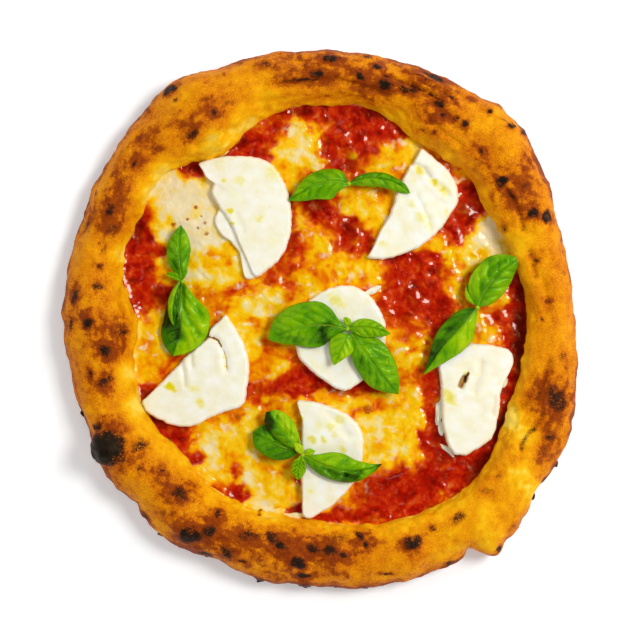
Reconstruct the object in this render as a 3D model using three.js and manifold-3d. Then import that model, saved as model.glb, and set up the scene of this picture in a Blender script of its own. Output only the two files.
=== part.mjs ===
/**
 * A wood-fired margherita pizza with a puffed rim, fresh mozzarella and whole sprigs of basil.
 *
 * Millimetres, +Z up. The pizza is seen as it is served: +X is to the right, +Y is away from the
 * diner. The origin is the middle of the flat underside.
 */
import * as THREE from "three";
import { ParametricGeometry } from "three/addons/geometries/ParametricGeometry.js";
import { mergeVertices } from "three/addons/utils/BufferGeometryUtils.js";
import Module from "manifold-3d";

const wasm = await Module();
wasm.setup();

// The rim, every 15 degrees from +X towards +Y: how far out it reaches, where it meets the sauce,
// and how high it puffed in the oven.
const RIM_OUTER = [
  145.0, 144.9, 151.0, 158.2, 154.2, 153.2, 153.2, 154.8, 159.2, 153.5, 149.4, 146.4,
  146.5, 146.1, 150.2, 151.5, 152.2, 151.3, 151.7, 156.0, 158.7, 163.4, 156.8, 150.7,
];
const RIM_INNER = [
  119.5, 116.1, 114.0, 116.8, 116.1, 123.4, 122.0, 119.1, 108.9, 120.0, 118.0, 115.8,
  103.1, 108.6, 112.8, 110.1, 113.7, 113.2, 115.7, 122.5, 125.6, 127.2, 121.4, 118.7,
];
const RIM_HEIGHT = [
  21.5, 22.5, 25.5, 27.5, 26.0, 23.0, 23.5, 26.0, 30.0, 25.5, 23.0, 22.5,
  27.5, 25.0, 26.0, 27.5, 26.0, 26.5, 25.0, 24.0, 24.5, 26.0, 24.0, 22.0,
];
const RIM_MEETS_BOARD = 17;
const BASE_THICKNESS = 3.6;
const RIM_LUMP = 1.7;

// Oven bubbles that stand out of the rim: compass angle, share of the way across the rim,
// reach along the rim and height.
const BUBBLES = [
  { deg: 211, across: 0.8, reach: 12, height: 3.2 },
  { deg: 50, across: 0.9, reach: 12, height: 2.4 },
  { deg: 308, across: 0.97, reach: 14, height: 5.2 },
  { deg: 121, across: 0.3, reach: 15, height: 2.4 },
  { deg: 236, across: 0.72, reach: 14, height: 2.2 },
  { deg: 24, across: 0.55, reach: 10, height: 1.8 },
  { deg: 272, across: 0.45, reach: 13, height: 2.0 },
  { deg: 88, across: 0.75, reach: 12, height: 1.9 },
  { deg: 164, across: 0.7, reach: 12, height: 1.9 },
  { deg: 289, across: 0.75, reach: 13, height: 2.1 },
  { deg: 340, across: 0.8, reach: 11, height: 1.7 },
];
// Long soft creases where the dough was pulled: from, to, share across at each end, depth.
const CREASES = [
  { from: 52, to: 75, acrossFrom: 0.35, acrossTo: 0.8, width: 3.4, depth: 2.0 },
  { from: 326, to: 344, acrossFrom: 0.35, acrossTo: 0.75, width: 3.2, depth: 1.8 },
];

const SAUCE_TOP = 5.7;
const SAUCE_WAVE = 0.3;
const GAP = 0.35;
const MELT_THICKNESS = 1.2;
const SLICE_THICKNESS = 5.4;
const LEAF_THICKNESS = 0.9;

const RIM_FACETS = 96;
const SAUCE_FACETS = 56;
const MELT_FACETS = 17;
const SLICE_FACETS = 30;
const LEAF_FACETS = 8;
const LEAF_STEPS = 6;

const FULL_TURN = Math.PI * 2;
const LAID_ON = SAUCE_TOP + SAUCE_WAVE + GAP;

/** A plain material of a food surface. */
function food(name, color, roughness) {
  const material = new THREE.MeshStandardMaterial({ color, roughness, metalness: 0 });
  material.name = name;
  return material;
}

/** Smooth step from 0 at low to 1 at high. */
function ease(value, low, high) {
  return THREE.MathUtils.smoothstep(value, low, high);
}

/** Value of a list of stations, evenly spaced round the pizza, at an angle in radians. */
function around(stations, angle) {
  const count = stations.length;
  const place = THREE.MathUtils.euclideanModulo(angle / FULL_TURN, 1) * count;
  const first = Math.floor(place);
  const t = place - first;
  const [a, b, c, d] = [-1, 0, 1, 2].map((step) => stations[(first + step + count) % count]);
  const slopeIn = (c - a) / 2;
  const slopeOut = (d - b) / 2;
  const cubic = 2 * (b - c) + slopeIn + slopeOut;
  const square = 3 * (c - b) - 2 * slopeIn - slopeOut;
  return ((cubic * t + square) * t + slopeIn) * t + b;
}

/** Signed shortest way between two angles, in radians. */
function turn(from, to) {
  return THREE.MathUtils.euclideanModulo(to - from + Math.PI, FULL_TURN) - Math.PI;
}

/** Soft irregular swelling of risen dough, from -1 to 1, at a place on the rim. */
function dough(angle, along) {
  const broad = Math.sin(5 * angle + 1.3 + 4.1 * along) * Math.cos(2.6 * along + 0.4);
  const middle = Math.sin(11 * angle - 5.2 * along + 0.6) * 0.55;
  const fine = Math.sin(19 * angle + 7.9 * along + 2.2) * 0.35;
  return (broad + middle + fine) / 1.9;
}

/** Low waves of the sauce and of what melted on it, from -1 to 1. */
function waves(x, y) {
  const first = Math.sin(x / 9.5 + 1.1) * Math.cos(y / 11.5 - 0.4);
  const second = Math.sin((x + y) / 15.5 + 2.3) * 0.6;
  return (first + second) / 1.6;
}

/** Merges shared corners, drops empty triangles and gives the closed surface its normals. */
function closed(source) {
  source.deleteAttribute("normal");
  source.deleteAttribute("uv");
  const merged = mergeVertices(source, 1e-3);
  const corners = merged.index.array;
  const kept = [];
  for (let i = 0; i < corners.length; i += 3) {
    const [a, b, c] = [corners[i], corners[i + 1], corners[i + 2]];
    if (a !== b && b !== c && c !== a) kept.push(a, b, c);
  }
  merged.setIndex(kept);
  merged.computeVertexNormals();
  return merged;
}

/** A closed surface as a solid that can be joined and cut. */
function solid(geometry) {
  const position = geometry.getAttribute("position");
  return new wasm.Manifold(
    new wasm.Mesh({
      numProp: 3,
      vertProperties: new Float32Array(position.array),
      triVerts: new Uint32Array(geometry.index.array),
    }),
  );
}

/** The largest single body of a solid, as a geometry. */
function surface(body) {
  const pieces = body.decompose();
  const largest = pieces.reduce((best, piece) => (piece.volume() > best.volume() ? piece : best));
  const mesh = largest.getMesh();
  const geometry = new THREE.BufferGeometry();
  const corners = new Float32Array(mesh.numVert * 3);
  for (let i = 0; i < mesh.numVert; i += 1) {
    for (let axis = 0; axis < 3; axis += 1) {
      corners[i * 3 + axis] = mesh.vertProperties[i * mesh.numProp + axis];
    }
  }
  geometry.setAttribute("position", new THREE.BufferAttribute(corners, 3));
  geometry.setIndex(Array.from(mesh.triVerts));
  geometry.computeVertexNormals();
  return geometry;
}

/** A named mesh whose geometry is kept about its own place on the pizza. */
function piece(name, geometry, material, place) {
  geometry.translate(-place.x, -place.y, -place.z);
  const mesh = new THREE.Mesh(geometry, material);
  mesh.name = name;
  mesh.position.copy(place);
  return mesh;
}

/** How far bubbles and creases push the rim's surface out at a place across its width. */
function rimFeature(angle, radius, across) {
  let push = 0;
  for (const bubble of BUBBLES) {
    const side = turn(THREE.MathUtils.degToRad(bubble.deg), angle) * radius;
    const ring = around(RIM_OUTER, angle) - around(RIM_INNER, angle);
    const distance = Math.hypot(side, (across - bubble.across) * ring) / bubble.reach;
    push += bubble.height * (1 - ease(distance, 0, 1));
  }
  for (const crease of CREASES) {
    const from = THREE.MathUtils.degToRad(crease.from);
    const length = THREE.MathUtils.degToRad(crease.to - crease.from);
    const share = turn(from, angle) / length;
    const line = THREE.MathUtils.lerp(crease.acrossFrom, crease.acrossTo, share);
    const ring = around(RIM_OUTER, angle) - around(RIM_INNER, angle);
    const distance = (Math.abs(across - line) * ring) / crease.width;
    const ends = ease(share, -0.1, 0.15) * (1 - ease(share, 0.85, 1.1));
    push -= crease.depth * ends * Math.exp(-distance * distance);
  }
  return push;
}

/** The dough's section at an angle: from the board, over the puffed rim, to the sauce. */
function rimSection(angle) {
  const outer = around(RIM_OUTER, angle);
  const inner = around(RIM_INNER, angle);
  const height = around(RIM_HEIGHT, angle);
  const ring = outer - inner;
  return new THREE.SplineCurve([
    new THREE.Vector2(outer - RIM_MEETS_BOARD, 0),
    new THREE.Vector2(outer - 5.2, height * 0.1),
    new THREE.Vector2(outer, height * 0.42),
    new THREE.Vector2(outer - ring * 0.1, height * 0.74),
    new THREE.Vector2(outer - ring * 0.34, height * 0.97),
    new THREE.Vector2(outer - ring * 0.58, height * 0.97),
    new THREE.Vector2(outer - ring * 0.82, height * 0.74),
    new THREE.Vector2(inner + ring * 0.04, height * 0.4),
    new THREE.Vector2(inner, BASE_THICKNESS),
  ]);
}

/** Crust: one piece of dough, a thin base with a puffed and blistered rim. */
function crust() {
  const across = 16;
  const geometry = new ParametricGeometry(
    (u, v, target) => {
      const angle = u * FULL_TURN;
      const row = Math.round(v * (across + 2));
      if (row === 0 || row === across + 2) {
        target.set(0, 0, row === 0 ? 0 : BASE_THICKNESS);
        return;
      }
      const share = (row - 1) / across;
      const section = rimSection(angle);
      const point = section.getPoint(share);
      const tangent = section.getTangent(share);
      const inner = around(RIM_INNER, angle);
      const ring = around(RIM_OUTER, angle) - inner;
      const free = ease(share, 0.06, 0.25) * (1 - ease(share, 0.8, 0.97));
      const width = (point.x - inner) / ring;
      const push = free * (dough(angle, share) * RIM_LUMP + rimFeature(angle, point.x, width));
      const radius = point.x + tangent.y * push;
      const z = share === 0 ? 0 : point.y - tangent.x * push;
      target.set(Math.cos(angle) * radius, Math.sin(angle) * radius, z);
    },
    RIM_FACETS,
    across + 2,
  );
  return closed(geometry);
}

/** Tomato sauce: a thin spread layer that ends just short of the rim. */
function sauce() {
  const rows = [
    { share: 0, z: BASE_THICKNESS + GAP },
    { share: 1, z: BASE_THICKNESS + GAP },
    { share: 1, z: BASE_THICKNESS + GAP + 0.9 },
    { share: 0.97, z: SAUCE_TOP },
    { share: 0.78, z: SAUCE_TOP },
    { share: 0.5, z: SAUCE_TOP },
    { share: 0.25, z: SAUCE_TOP },
    { share: 0, z: SAUCE_TOP },
  ];
  const geometry = new ParametricGeometry(
    (u, v, target) => {
      const angle = u * FULL_TURN;
      const row = rows[Math.round(v * (rows.length - 1))];
      const radius = (around(RIM_INNER, angle) - 0.9) * row.share;
      const x = Math.cos(angle) * radius;
      const y = Math.sin(angle) * radius;
      const wave = row.z === SAUCE_TOP ? waves(x, y) * SAUCE_WAVE : 0;
      target.set(x, y, row.z + wave);
    },
    SAUCE_FACETS,
    rows.length - 1,
  );
  return closed(geometry);
}

/**
 * A soft flat piece laid on the sauce, such as a slice or a melted pool.
 *
 * The outline runs round the middle; edge is how far the top edge is rounded in, grow makes a
 * larger copy for cutting room under a neighbour.
 */
function laid({ outline, middle, thickness, edge, dome = 0, wavy = 0, facets, grow = 0, base }) {
  const corners = outline.map(([x, y]) => new THREE.Vector3(x, y, 0));
  if (THREE.ShapeUtils.isClockWise(corners)) corners.reverse();
  const loop = new THREE.CatmullRomCurve3(
    corners,
    true,
    "catmullrom",
    0.4,
  );
  const bottom = base - (grow > 0 ? 2 : 0);
  const rows = [
    { inset: 1, z: bottom, middle: true },
    { inset: edge * 0.35, z: bottom },
    { inset: 0, z: base + thickness * 0.38 },
    { inset: edge * 0.25, z: base + thickness * 0.76 },
    { inset: edge, z: base + thickness, relief: 0.4 },
    { share: 0.5, z: base + thickness, relief: 1 },
    { inset: 1, z: base + thickness, middle: true, relief: 1 },
  ];
  const geometry = new ParametricGeometry(
    (u, v, target) => {
      const at = loop.getPointAt(u);
      const row = rows[Math.round(v * (rows.length - 1))];
      const fromMiddle = new THREE.Vector2(at.x - middle[0], at.y - middle[1]);
      const full = fromMiddle.length();
      const reach = row.middle ? 0 : row.share ? full * row.share : full - row.inset + grow;
      fromMiddle.setLength(Math.max(reach, 0));
      const x = row.middle ? middle[0] : middle[0] + fromMiddle.x;
      const y = row.middle ? middle[1] : middle[1] + fromMiddle.y;
      const lift = (row.relief ?? 0) * (dome + wavy * waves(x * 1.3 + 20, y * 1.3)) + grow;
      target.set(x, y, row.z + (row.z > base ? lift : 0));
    },
    facets,
    rows.length - 1,
  );
  return closed(geometry);
}

// Pools of mozzarella that melted into the sauce, each by its outline and the middle of it.
const MELTED = {
  melted_cheese_upper_left: {
    middle: [-76, 54],
    outline: [
      [-79, 87], [-69, 79], [-62, 68], [-54, 55], [-45, 39], [-40, 24],
      [-52, 16], [-66, 22], [-78, 34], [-91, 46], [-96, 60], [-90, 74],
    ],
  },
  melted_cheese_top: {
    middle: [-15, 102],
    outline: [[-4, 108], [-4, 99], [-13, 92], [-24, 94], [-30, 102], [-22, 111], [-10, 116]],
  },
  melted_cheese_middle_left: {
    middle: [-36, 6],
    outline: [[-19, 12], [-22, 1], [-32, -10], [-42, -4], [-53, 4], [-54, 11], [-40, 16], [-27, 17]],
  },
  melted_cheese_right: {
    middle: [84, 40],
    outline: [[97, 54], [100, 46], [94, 36], [88, 24], [78, 19], [73, 28], [75, 42], [84, 54]],
  },
  melted_cheese_lower_left: {
    middle: [-50, -80],
    outline: [
      [-22, -66], [-20, -84], [-22, -101], [-36, -103], [-54, -99], [-68, -86],
      [-76, -72], [-64, -66], [-48, -62], [-34, -64],
    ],
  },
  melted_cheese_lower_right: {
    middle: [42, -74],
    outline: [[58, -60], [59, -74], [52, -88], [38, -93], [28, -84], [30, -70], [32, -58], [46, -54]],
  },
};

// Slices cut from balls of fresh mozzarella. The curved side of each is the ball's own skin.
const SLICES = {
  mozzarella_under_upper_left: {
    middle: [-47, 45],
    thickness: 3.0,
    edge: 1.4,
    outline: [
      [-33, 32], [-34, 46], [-42, 56], [-50, 64], [-57, 63], [-60.4, 56.4], [-57, 49],
      [-50.2, 43.3], [-44.5, 34.8], [-43, 24], [-38, 23.5],
    ],
  },
  mozzarella_upper_left: {
    middle: [-41, 64],
    dome: 0.7,
    outline: [
      [-36.5, 23.9], [-24.5, 31.9], [-16.5, 49], [-16.6, 65], [-21.7, 80.9], [-31.3, 91.2],
      [-48.4, 92.9], [-58.7, 92.3], [-69, 88.3], [-66.6, 81.5], [-61.8, 76.5], [-60.5, 69],
      [-55.3, 59.8], [-48.4, 49], [-43.9, 39.3],
    ],
  },
  mozzarella_upper_right: {
    middle: [57, 62],
    dome: 0.6,
    outline: [
      [27.4, 34.8], [38.8, 34.2], [52.4, 38.8], [66.7, 49], [73.5, 58.1], [78.8, 65.5],
      [79.4, 73], [74.1, 82.6], [66.1, 91.2], [57.9, 96.3], [52.6, 88.1], [47.3, 80.9],
      [42.7, 69.5], [38.2, 57.6], [32.5, 47.3],
    ],
  },
  mozzarella_middle: {
    middle: [13, -11],
    thickness: 5.8,
    dome: 0.9,
    outline: [
      [37.6, -4.6], [33.6, 5.7], [24, 17], [14.2, 18.8], [5.7, 17.1], [-0.6, 14.5],
      [-7.4, 9.1], [-13.7, -5.1], [-13.1, -19.9], [-5.7, -28.5], [4, -36], [14.2, -41],
      [24.5, -34.8], [38.2, -14.8],
    ],
  },
  mozzarella_left: {
    middle: [-62, -36],
    dome: 0.5,
    outline: [
      [-40.5, -31.9], [-43, -15.4], [-48.7, -5.1], [-53.6, 2.3], [-59.3, -2.8],
      [-63.8, -9.1], [-71, -16.5], [-79, -25], [-87.8, -33], [-96.3, -43], [-101.5, -47.3],
      [-99, -54], [-88.9, -58.1], [-75.2, -61.6], [-62.7, -55.9], [-46.2, -50.2], [-42.2, -39.3],
    ],
  },
  mozzarella_right: {
    middle: [88, -46],
    dome: 0.5,
    outline: [
      [108.9, -28.5], [110.2, -21], [104.3, -16.5], [94, -15], [83.2, -14.6], [67.8, -25.1],
      [69, -39.3], [69.5, -53.6], [71.2, -66.1], [75.8, -76.9], [83.8, -77.5], [92.9, -71.8],
      [100.3, -63], [102.6, -51.3], [103, -43.3],
    ],
  },
  mozzarella_lower: {
    middle: [3, -79],
    dome: 0.6,
    outline: [
      [24.5, -79.2], [23.9, -63.8], [20.5, -58.7], [9.1, -51.3], [0.6, -47.9], [-12.4, -46.8],
      [-10.2, -59.3], [-10.8, -69], [-10.8, -86.1], [-10.3, -103.2], [-9.9, -112],
      [-5.2, -113.8], [6.8, -106.6], [18.8, -94.3],
    ],
  },
};
const SLICE_HOLE = { x: 81.7, y: -35.4, length: 8.4, width: 3, lean: 20 };

/** A slice's or pool's dimensions, ready to build at its layer. */
function layer(entry, extra) {
  return { thickness: SLICE_THICKNESS, edge: 2, wavy: 0.5, base: LAID_ON, ...entry, ...extra };
}

/** Melted pools by name, and the cutting room that each needs in what lies over it. */
function meltedPools() {
  const size = { thickness: MELT_THICKNESS, edge: 1.8, wavy: 0.2, facets: MELT_FACETS };
  return Object.entries(MELTED).map(([name, entry]) => ({
    name,
    middle: entry.middle,
    geometry: laid(layer(entry, size)),
    room: solid(laid(layer(entry, { ...size, grow: GAP }))),
  }));
}

/** Mozzarella slices by name, each cut to lie over what is under it. */
function slices(pools) {
  const under = pools.map((pool) => pool.room);
  return Object.entries(SLICES).map(([name, entry]) => {
    const size = { facets: SLICE_FACETS };
    let body = solid(laid(layer(entry, size)));
    for (const room of under) body = body.subtract(room);
    if (name === "mozzarella_right") body = body.subtract(hole(SLICE_HOLE));
    under.push(solid(laid(layer(entry, { ...size, grow: GAP }))));
    return { name, middle: entry.middle, geometry: surface(body) };
  });
}

/** A slot-like hole that a bubble of whey left right through a slice. */
function hole({ x, y, length, width, lean }) {
  const shape = new THREE.CylinderGeometry(0.5, 0.38, SLICE_THICKNESS * 4, 10);
  shape.rotateX(Math.PI / 2);
  shape.scale(width, length, 1);
  shape.rotateZ(THREE.MathUtils.degToRad(lean));
  shape.translate(x, y, LAID_ON + SLICE_THICKNESS / 2);
  return solid(closed(shape));
}

// Basil sprigs. Each leaf runs from the knot of the stalk to its tip: x, y and height, with the bow
// of its midrib to one side, its width, how far its back arches and how far its edges turn up.
const SPRIGS = {
  basil_top: {
    node: [16.5, 77, 10.6],
    leaves: [
      { tip: [-18.3, 67.3, 13.4], bow: 5.5, width: 17.5, arch: 3.4, turn: -2.2 },
      { tip: [51, 71.5, 14.2], bow: -3.2, width: 9.5, arch: 4.4, turn: -1.6 },
    ],
  },
  basil_left: {
    node: [-78, 21.5, 10.2],
    leaves: [
      { tip: [-79.2, 53.6, 11.2], bow: 1.2, width: 14, arch: 3, turn: -1.6 },
      { tip: [-83.4, -21, 10.4], bow: -2.6, width: 15, arch: 1.4, turn: -1.2 },
      { tip: [-68.4, -15.6, 15.4], bow: 5.2, width: 16, arch: 4.2, turn: -2.4 },
      { tip: [-87.4, 25.6, 10], bow: 0.6, width: 4.4, arch: 0.8, turn: 0.4 },
    ],
  },
  basil_right: {
    node: [89.5, 6.4, 13.4],
    leaves: [
      { tip: [111.6, 35.4, 17.4], bow: -1.6, width: 23, arch: 4.6, turn: -3.2 },
      { tip: [59, -31.6, 12.6], bow: 2, width: 20, arch: 4.2, turn: -2.6 },
      { tip: [82.4, 19, 11.6], bow: 1, width: 6.4, arch: 1.2, turn: 0.8 },
    ],
  },
  basil_middle: {
    node: [15.6, -5.6, 15.6],
    leaves: [
      { tip: [-29.8, -11.2, 14.6], bow: 2.4, width: 27, arch: 5.2, turn: -4 },
      { tip: [39.8, -8.8, 18.6], bow: -2, width: 12, arch: 3.4, turn: -1.2 },
      { tip: [44.6, -42.6, 14.2], bow: -3, width: 21, arch: 4.8, turn: -3.2 },
      { tip: [8.2, -26, 18], bow: 0.8, width: 13, arch: 2.6, turn: -1.2 },
    ],
  },
  basil_lower: {
    node: [-9.6, -77, 14.8],
    leaves: [
      { tip: [-29.4, -53.6, 13.4], bow: 2.4, width: 14.5, arch: 3.4, turn: -2.2 },
      { tip: [-38.4, -65.6, 11.4], bow: -2.8, width: 12.5, arch: 2.4, turn: -1.6 },
      { tip: [35.6, -82.2, 15.8], bow: 2.6, width: 16.5, arch: 3.2, turn: -2.4 },
      { tip: [-11.6, -90.6, 13.6], bow: 0.4, width: 7, arch: 0.8, turn: -0.6 },
    ],
  },
};

/** Half the width of a basil leaf, as a share of its widest half, from stalk to tip. */
function leafShare(t) {
  const belly = Math.pow(Math.sin(Math.PI * Math.pow(t, 0.84)), 0.72);
  return Math.max(belly * (1.04 - 0.16 * t), 0.085 * (1 - t));
}

/** One leaf: a thin blade, thickest at the midrib, arched along it and turned at its edges. */
function leaf(node, { tip, bow, width, arch, turn: edgeTurn }) {
  const start = new THREE.Vector3(...node);
  const end = new THREE.Vector3(...tip);
  const along = end.clone().sub(start).setZ(0).normalize();
  start.addScaledVector(along, 1.1);
  const side = new THREE.Vector3(-along.y, along.x, 0);
  const middle = start.clone().lerp(end, 0.5).addScaledVector(side, bow * 2);
  middle.z += arch * 2;
  const midrib = new THREE.QuadraticBezierCurve3(start, middle, end);
  const geometry = new ParametricGeometry(
    (u, v, target) => {
      const t = v;
      const spot = midrib.getPoint(t);
      const half = (width / 2) * leafShare(t);
      const loop = u * FULL_TURN;
      const across = Math.cos(loop);
      const thick = Math.max(LEAF_THICKNESS, 1.6 * (1 - t * 5)) * (1 - ease(t, 0.9, 1) * 0.7);
      const lift = edgeTurn * across * across * (half / (width / 2));
      const height = spot.z + lift + (Math.sin(loop) * thick) / 2;
      target.copy(spot).addScaledVector(side, across * half);
      target.z = height;
      if (v === 0) target.copy(start);
      if (v === 1) target.copy(end);
    },
    LEAF_FACETS,
    LEAF_STEPS,
  );
  return closed(geometry);
}

/** A sprig: the leaves joined at the knot of their stalk, one body. */
function sprig({ node, leaves }) {
  const knot = new THREE.SphereGeometry(2.4, 8, 6);
  knot.rotateX(Math.PI / 2);
  knot.translate(node[0], node[1], node[2]);
  let body = solid(closed(knot));
  for (const entry of leaves) body = body.add(solid(leaf(node, entry)));
  return surface(body);
}

const bakedDough = food("baked dough", 0xd58e26, 0.78);
const tomato = food("tomato sauce", 0xb02408, 0.32);
const meltedCheese = food("melted mozzarella", 0xf3c765, 0.35);
const freshCheese = food("fresh mozzarella", 0xf6f1e0, 0.42);
const basil = food("basil leaf", 0x4f8f12, 0.45);

const pizza = new THREE.Group();
pizza.add(piece("crust", crust(), bakedDough, new THREE.Vector3(0, 0, 0)));
pizza.add(piece("tomato_sauce", sauce(), tomato, new THREE.Vector3(0, 0, BASE_THICKNESS)));

const pools = meltedPools();
for (const pool of pools) {
  const place = new THREE.Vector3(pool.middle[0], pool.middle[1], LAID_ON);
  pizza.add(piece(pool.name, pool.geometry, meltedCheese, place));
}

const cheese = new THREE.Group();
for (const slice of slices(pools)) {
  const place = new THREE.Vector3(slice.middle[0], slice.middle[1], LAID_ON);
  cheese.add(piece(slice.name, slice.geometry, freshCheese, place));
}
pizza.add(cheese);

const herbs = new THREE.Group();
for (const [name, entry] of Object.entries(SPRIGS)) {
  herbs.add(piece(name, sprig(entry), basil, new THREE.Vector3(...entry.node)));
}
pizza.add(herbs);

export default pizza;
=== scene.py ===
"""The fine surface of a wood-fired margherita pizza, built round its measured model.

Lengths in the tables are millimetres in the pizza's own frame: +X to the right, +Y away from the
diner, +Z up, with the origin in the middle of the flat underside.
"""
from __future__ import annotations

import itertools
import logging
import math
from dataclasses import dataclass, field
from enum import Enum

import bpy
import numpy as np
from bpy.types import Material, NodeSocket, NodeTree, Object
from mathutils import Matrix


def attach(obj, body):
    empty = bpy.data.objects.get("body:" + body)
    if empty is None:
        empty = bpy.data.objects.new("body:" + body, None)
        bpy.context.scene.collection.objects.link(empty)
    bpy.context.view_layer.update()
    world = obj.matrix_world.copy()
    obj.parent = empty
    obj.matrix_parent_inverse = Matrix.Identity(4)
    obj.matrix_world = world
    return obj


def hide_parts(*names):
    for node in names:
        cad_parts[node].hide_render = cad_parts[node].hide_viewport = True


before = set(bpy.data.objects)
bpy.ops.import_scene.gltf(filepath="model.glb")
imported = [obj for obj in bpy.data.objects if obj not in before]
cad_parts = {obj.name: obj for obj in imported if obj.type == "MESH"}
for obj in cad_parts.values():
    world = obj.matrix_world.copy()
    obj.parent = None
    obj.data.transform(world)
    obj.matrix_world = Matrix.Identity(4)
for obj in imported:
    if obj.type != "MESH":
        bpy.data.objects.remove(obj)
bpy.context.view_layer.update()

LOG = logging.getLogger("pizza")
Array = np.ndarray
Outline = tuple[tuple[float, float], ...]
Table = tuple[tuple[float, ...], ...]
MM = 0.001
FULL_TURN = 2.0 * math.pi

# The rim every 15 degrees, as in the measured model.
RIM_OUTER = np.array([
    145.0, 144.9, 151.0, 158.2, 154.2, 153.2, 153.2, 154.8, 159.2, 153.5, 149.4, 146.4,
    146.5, 146.1, 150.2, 151.5, 152.2, 151.3, 151.7, 156.0, 158.7, 163.4, 156.8, 150.7,
])
RIM_INNER = np.array([
    119.5, 116.1, 114.0, 116.8, 116.1, 123.4, 122.0, 119.1, 108.9, 120.0, 118.0, 115.8,
    103.1, 108.6, 112.8, 110.1, 113.7, 113.2, 115.7, 122.5, 125.6, 127.2, 121.4, 118.7,
])
RIM_HEIGHT = np.array([
    21.5, 22.5, 25.5, 27.5, 26.0, 23.0, 23.5, 26.0, 30.0, 25.5, 23.0, 22.5,
    27.5, 25.0, 26.0, 27.5, 26.0, 26.5, 25.0, 24.0, 24.5, 26.0, 24.0, 22.0,
])
RIM_MEETS_BOARD = 17.0
BASE_THICKNESS = 3.6
SAUCE_TOP = 5.7
LAID_ON = 6.35
SLICE_THICKNESS = 5.4


class Finish(Enum):
    """The record's finishes, by the name of their slot."""

    DOUGH = "baked_dough"
    SAUCE = "tomato_sauce"
    MELTED = "melted_cheese"
    FRESH = "fresh_mozzarella"
    BASIL = "basil_leaf"


def srgb(code: str) -> tuple[float, float, float, float]:
    """Turn an sRGB hex colour into linear light.

    Args:
        code: six hex digits after a hash.

    Returns:
        Linear red, green and blue, with an alpha of one.
    """
    parts = [int(code[i:i + 2], 16) / 255.0 for i in (1, 3, 5)]
    linear = [p / 12.92 if p <= 0.04045 else ((p + 0.055) / 1.055) ** 2.4 for p in parts]
    return (linear[0], linear[1], linear[2], 1.0)


def per_mm(size: float) -> float:
    """Texture scale, in features a metre, of a pattern whose features are size mm apart."""
    return 1.0 / (size * MM)


def ease(value: Array, low: float, high: float) -> Array:
    """Smooth step from 0 at low to 1 at high."""
    t = np.clip((value - low) / (high - low), 0.0, 1.0)
    return t * t * (3.0 - 2.0 * t)


def fall(value: Array, low: float, high: float) -> Array:
    """Smooth step from 1 at low to 0 at high."""
    return 1.0 - ease(value, low, high)


def cubic(four: list[Array], t: Array, tension: float = 0.5) -> Array:
    """Smooth curve from the second of four neighbours to the third.

    Args:
        four: the values before, at the start of, at the end of and after each stretch.
        t: place along the stretch, from 0 to 1.
        tension: share of the chord that sets the slope at each end.

    Returns:
        The values there.
    """
    before, start, end, after = four
    slope_in = (end - before) * tension
    slope_out = (after - start) * tension
    return ((2 * (start - end) + slope_in + slope_out) * t ** 3
            + (3 * (end - start) - 2 * slope_in - slope_out) * t ** 2 + slope_in * t + start)


def around(stations: Array, angle: Array) -> Array:
    """Value of evenly spaced stations at angles in radians, smoothly joined.

    Args:
        stations: values at even steps of a full turn.
        angle: the angles wanted.

    Returns:
        One value an angle.
    """
    count = len(stations)
    place = np.mod(angle / FULL_TURN, 1.0) * count
    first = np.floor(place).astype(int)
    return cubic([stations[(first + step) % count] for step in (-1, 0, 1, 2)], place - first)


def turn_to(start: float, angle: Array) -> Array:
    """Signed shortest turn from one angle to others, in radians."""
    return np.mod(angle - start + math.pi, FULL_TURN) - math.pi


def turned(x: Array, y: Array, degrees: float) -> tuple[Array, Array]:
    """Places as seen from axes that are turned anticlockwise."""
    cos, sin = math.cos(math.radians(degrees)), math.sin(math.radians(degrees))
    return x * cos + y * sin, y * cos - x * sin


class Grain:
    """Seeded gradient noise: smooth in space and the same on every run.

    A constant added to the points gives a noise unrelated to the others of the same seed.
    """

    CELLS = 256
    GAIN = 1.6
    LAYER_SHIFT = 31.7

    def __init__(self, seed: int) -> None:
        """Draw the lattice.

        Args:
            seed: number that the lattice follows from.
        """
        rng = np.random.default_rng(seed)
        order = rng.permutation(self.CELLS)
        self.order = np.concatenate([order, order])
        slopes = rng.normal(size=(self.CELLS, 3))
        self.slopes = slopes / np.linalg.norm(slopes, axis=1, keepdims=True)

    def at(self, points: Array, size: float) -> Array:
        """Noise from about -1 to 1 at points.

        Args:
            points: places in mm, as rows of x, y, z.
            size: distance between features in mm.

        Returns:
            One value a point.
        """
        scaled = points / size
        cell = np.floor(scaled).astype(int)
        offset = scaled - cell
        fade = offset ** 3 * (offset * (offset * 6.0 - 15.0) + 10.0)
        total = np.zeros(len(points))
        for corner in itertools.product((0, 1), repeat=3):
            spot = (cell + corner) & (self.CELLS - 1)
            pick = self.order[self.order[self.order[spot[:, 0]] + spot[:, 1]] + spot[:, 2]]
            weight = np.prod(np.where(corner, fade, 1.0 - fade), axis=1)
            total += weight * np.sum(self.slopes[pick] * (offset - corner), axis=1)
        return total * self.GAIN

    def layers(self, points: Array, size: float, count: int = 3) -> Array:
        """Sum of noises, each half the size and half the strength of the last.

        Args:
            points: places in mm, as rows of x, y, z.
            size: distance between features of the first noise in mm.
            count: how many noises.

        Returns:
            One value a point.
        """
        total = np.zeros(len(points))
        for layer in range(count):
            shifted = points + self.LAYER_SHIFT * layer
            total += self.at(shifted, size / 2.0 ** layer) / 2.0 ** layer
        return total


def flat(points: Array) -> Array:
    """Rows of x, y as rows of x, y, 0."""
    return np.column_stack([points, np.zeros(len(points))])


def anticlockwise(outline: Outline) -> Array:
    """An outline's corners as rows, in anticlockwise order.

    Args:
        outline: x, y of each corner, either way round.

    Returns:
        Rows of x, y.
    """
    points = np.array(outline)
    following = np.roll(points, -1, axis=0)
    area = np.sum(points[:, 0] * following[:, 1] - following[:, 0] * points[:, 1])
    return points if area > 0 else points[::-1]


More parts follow.
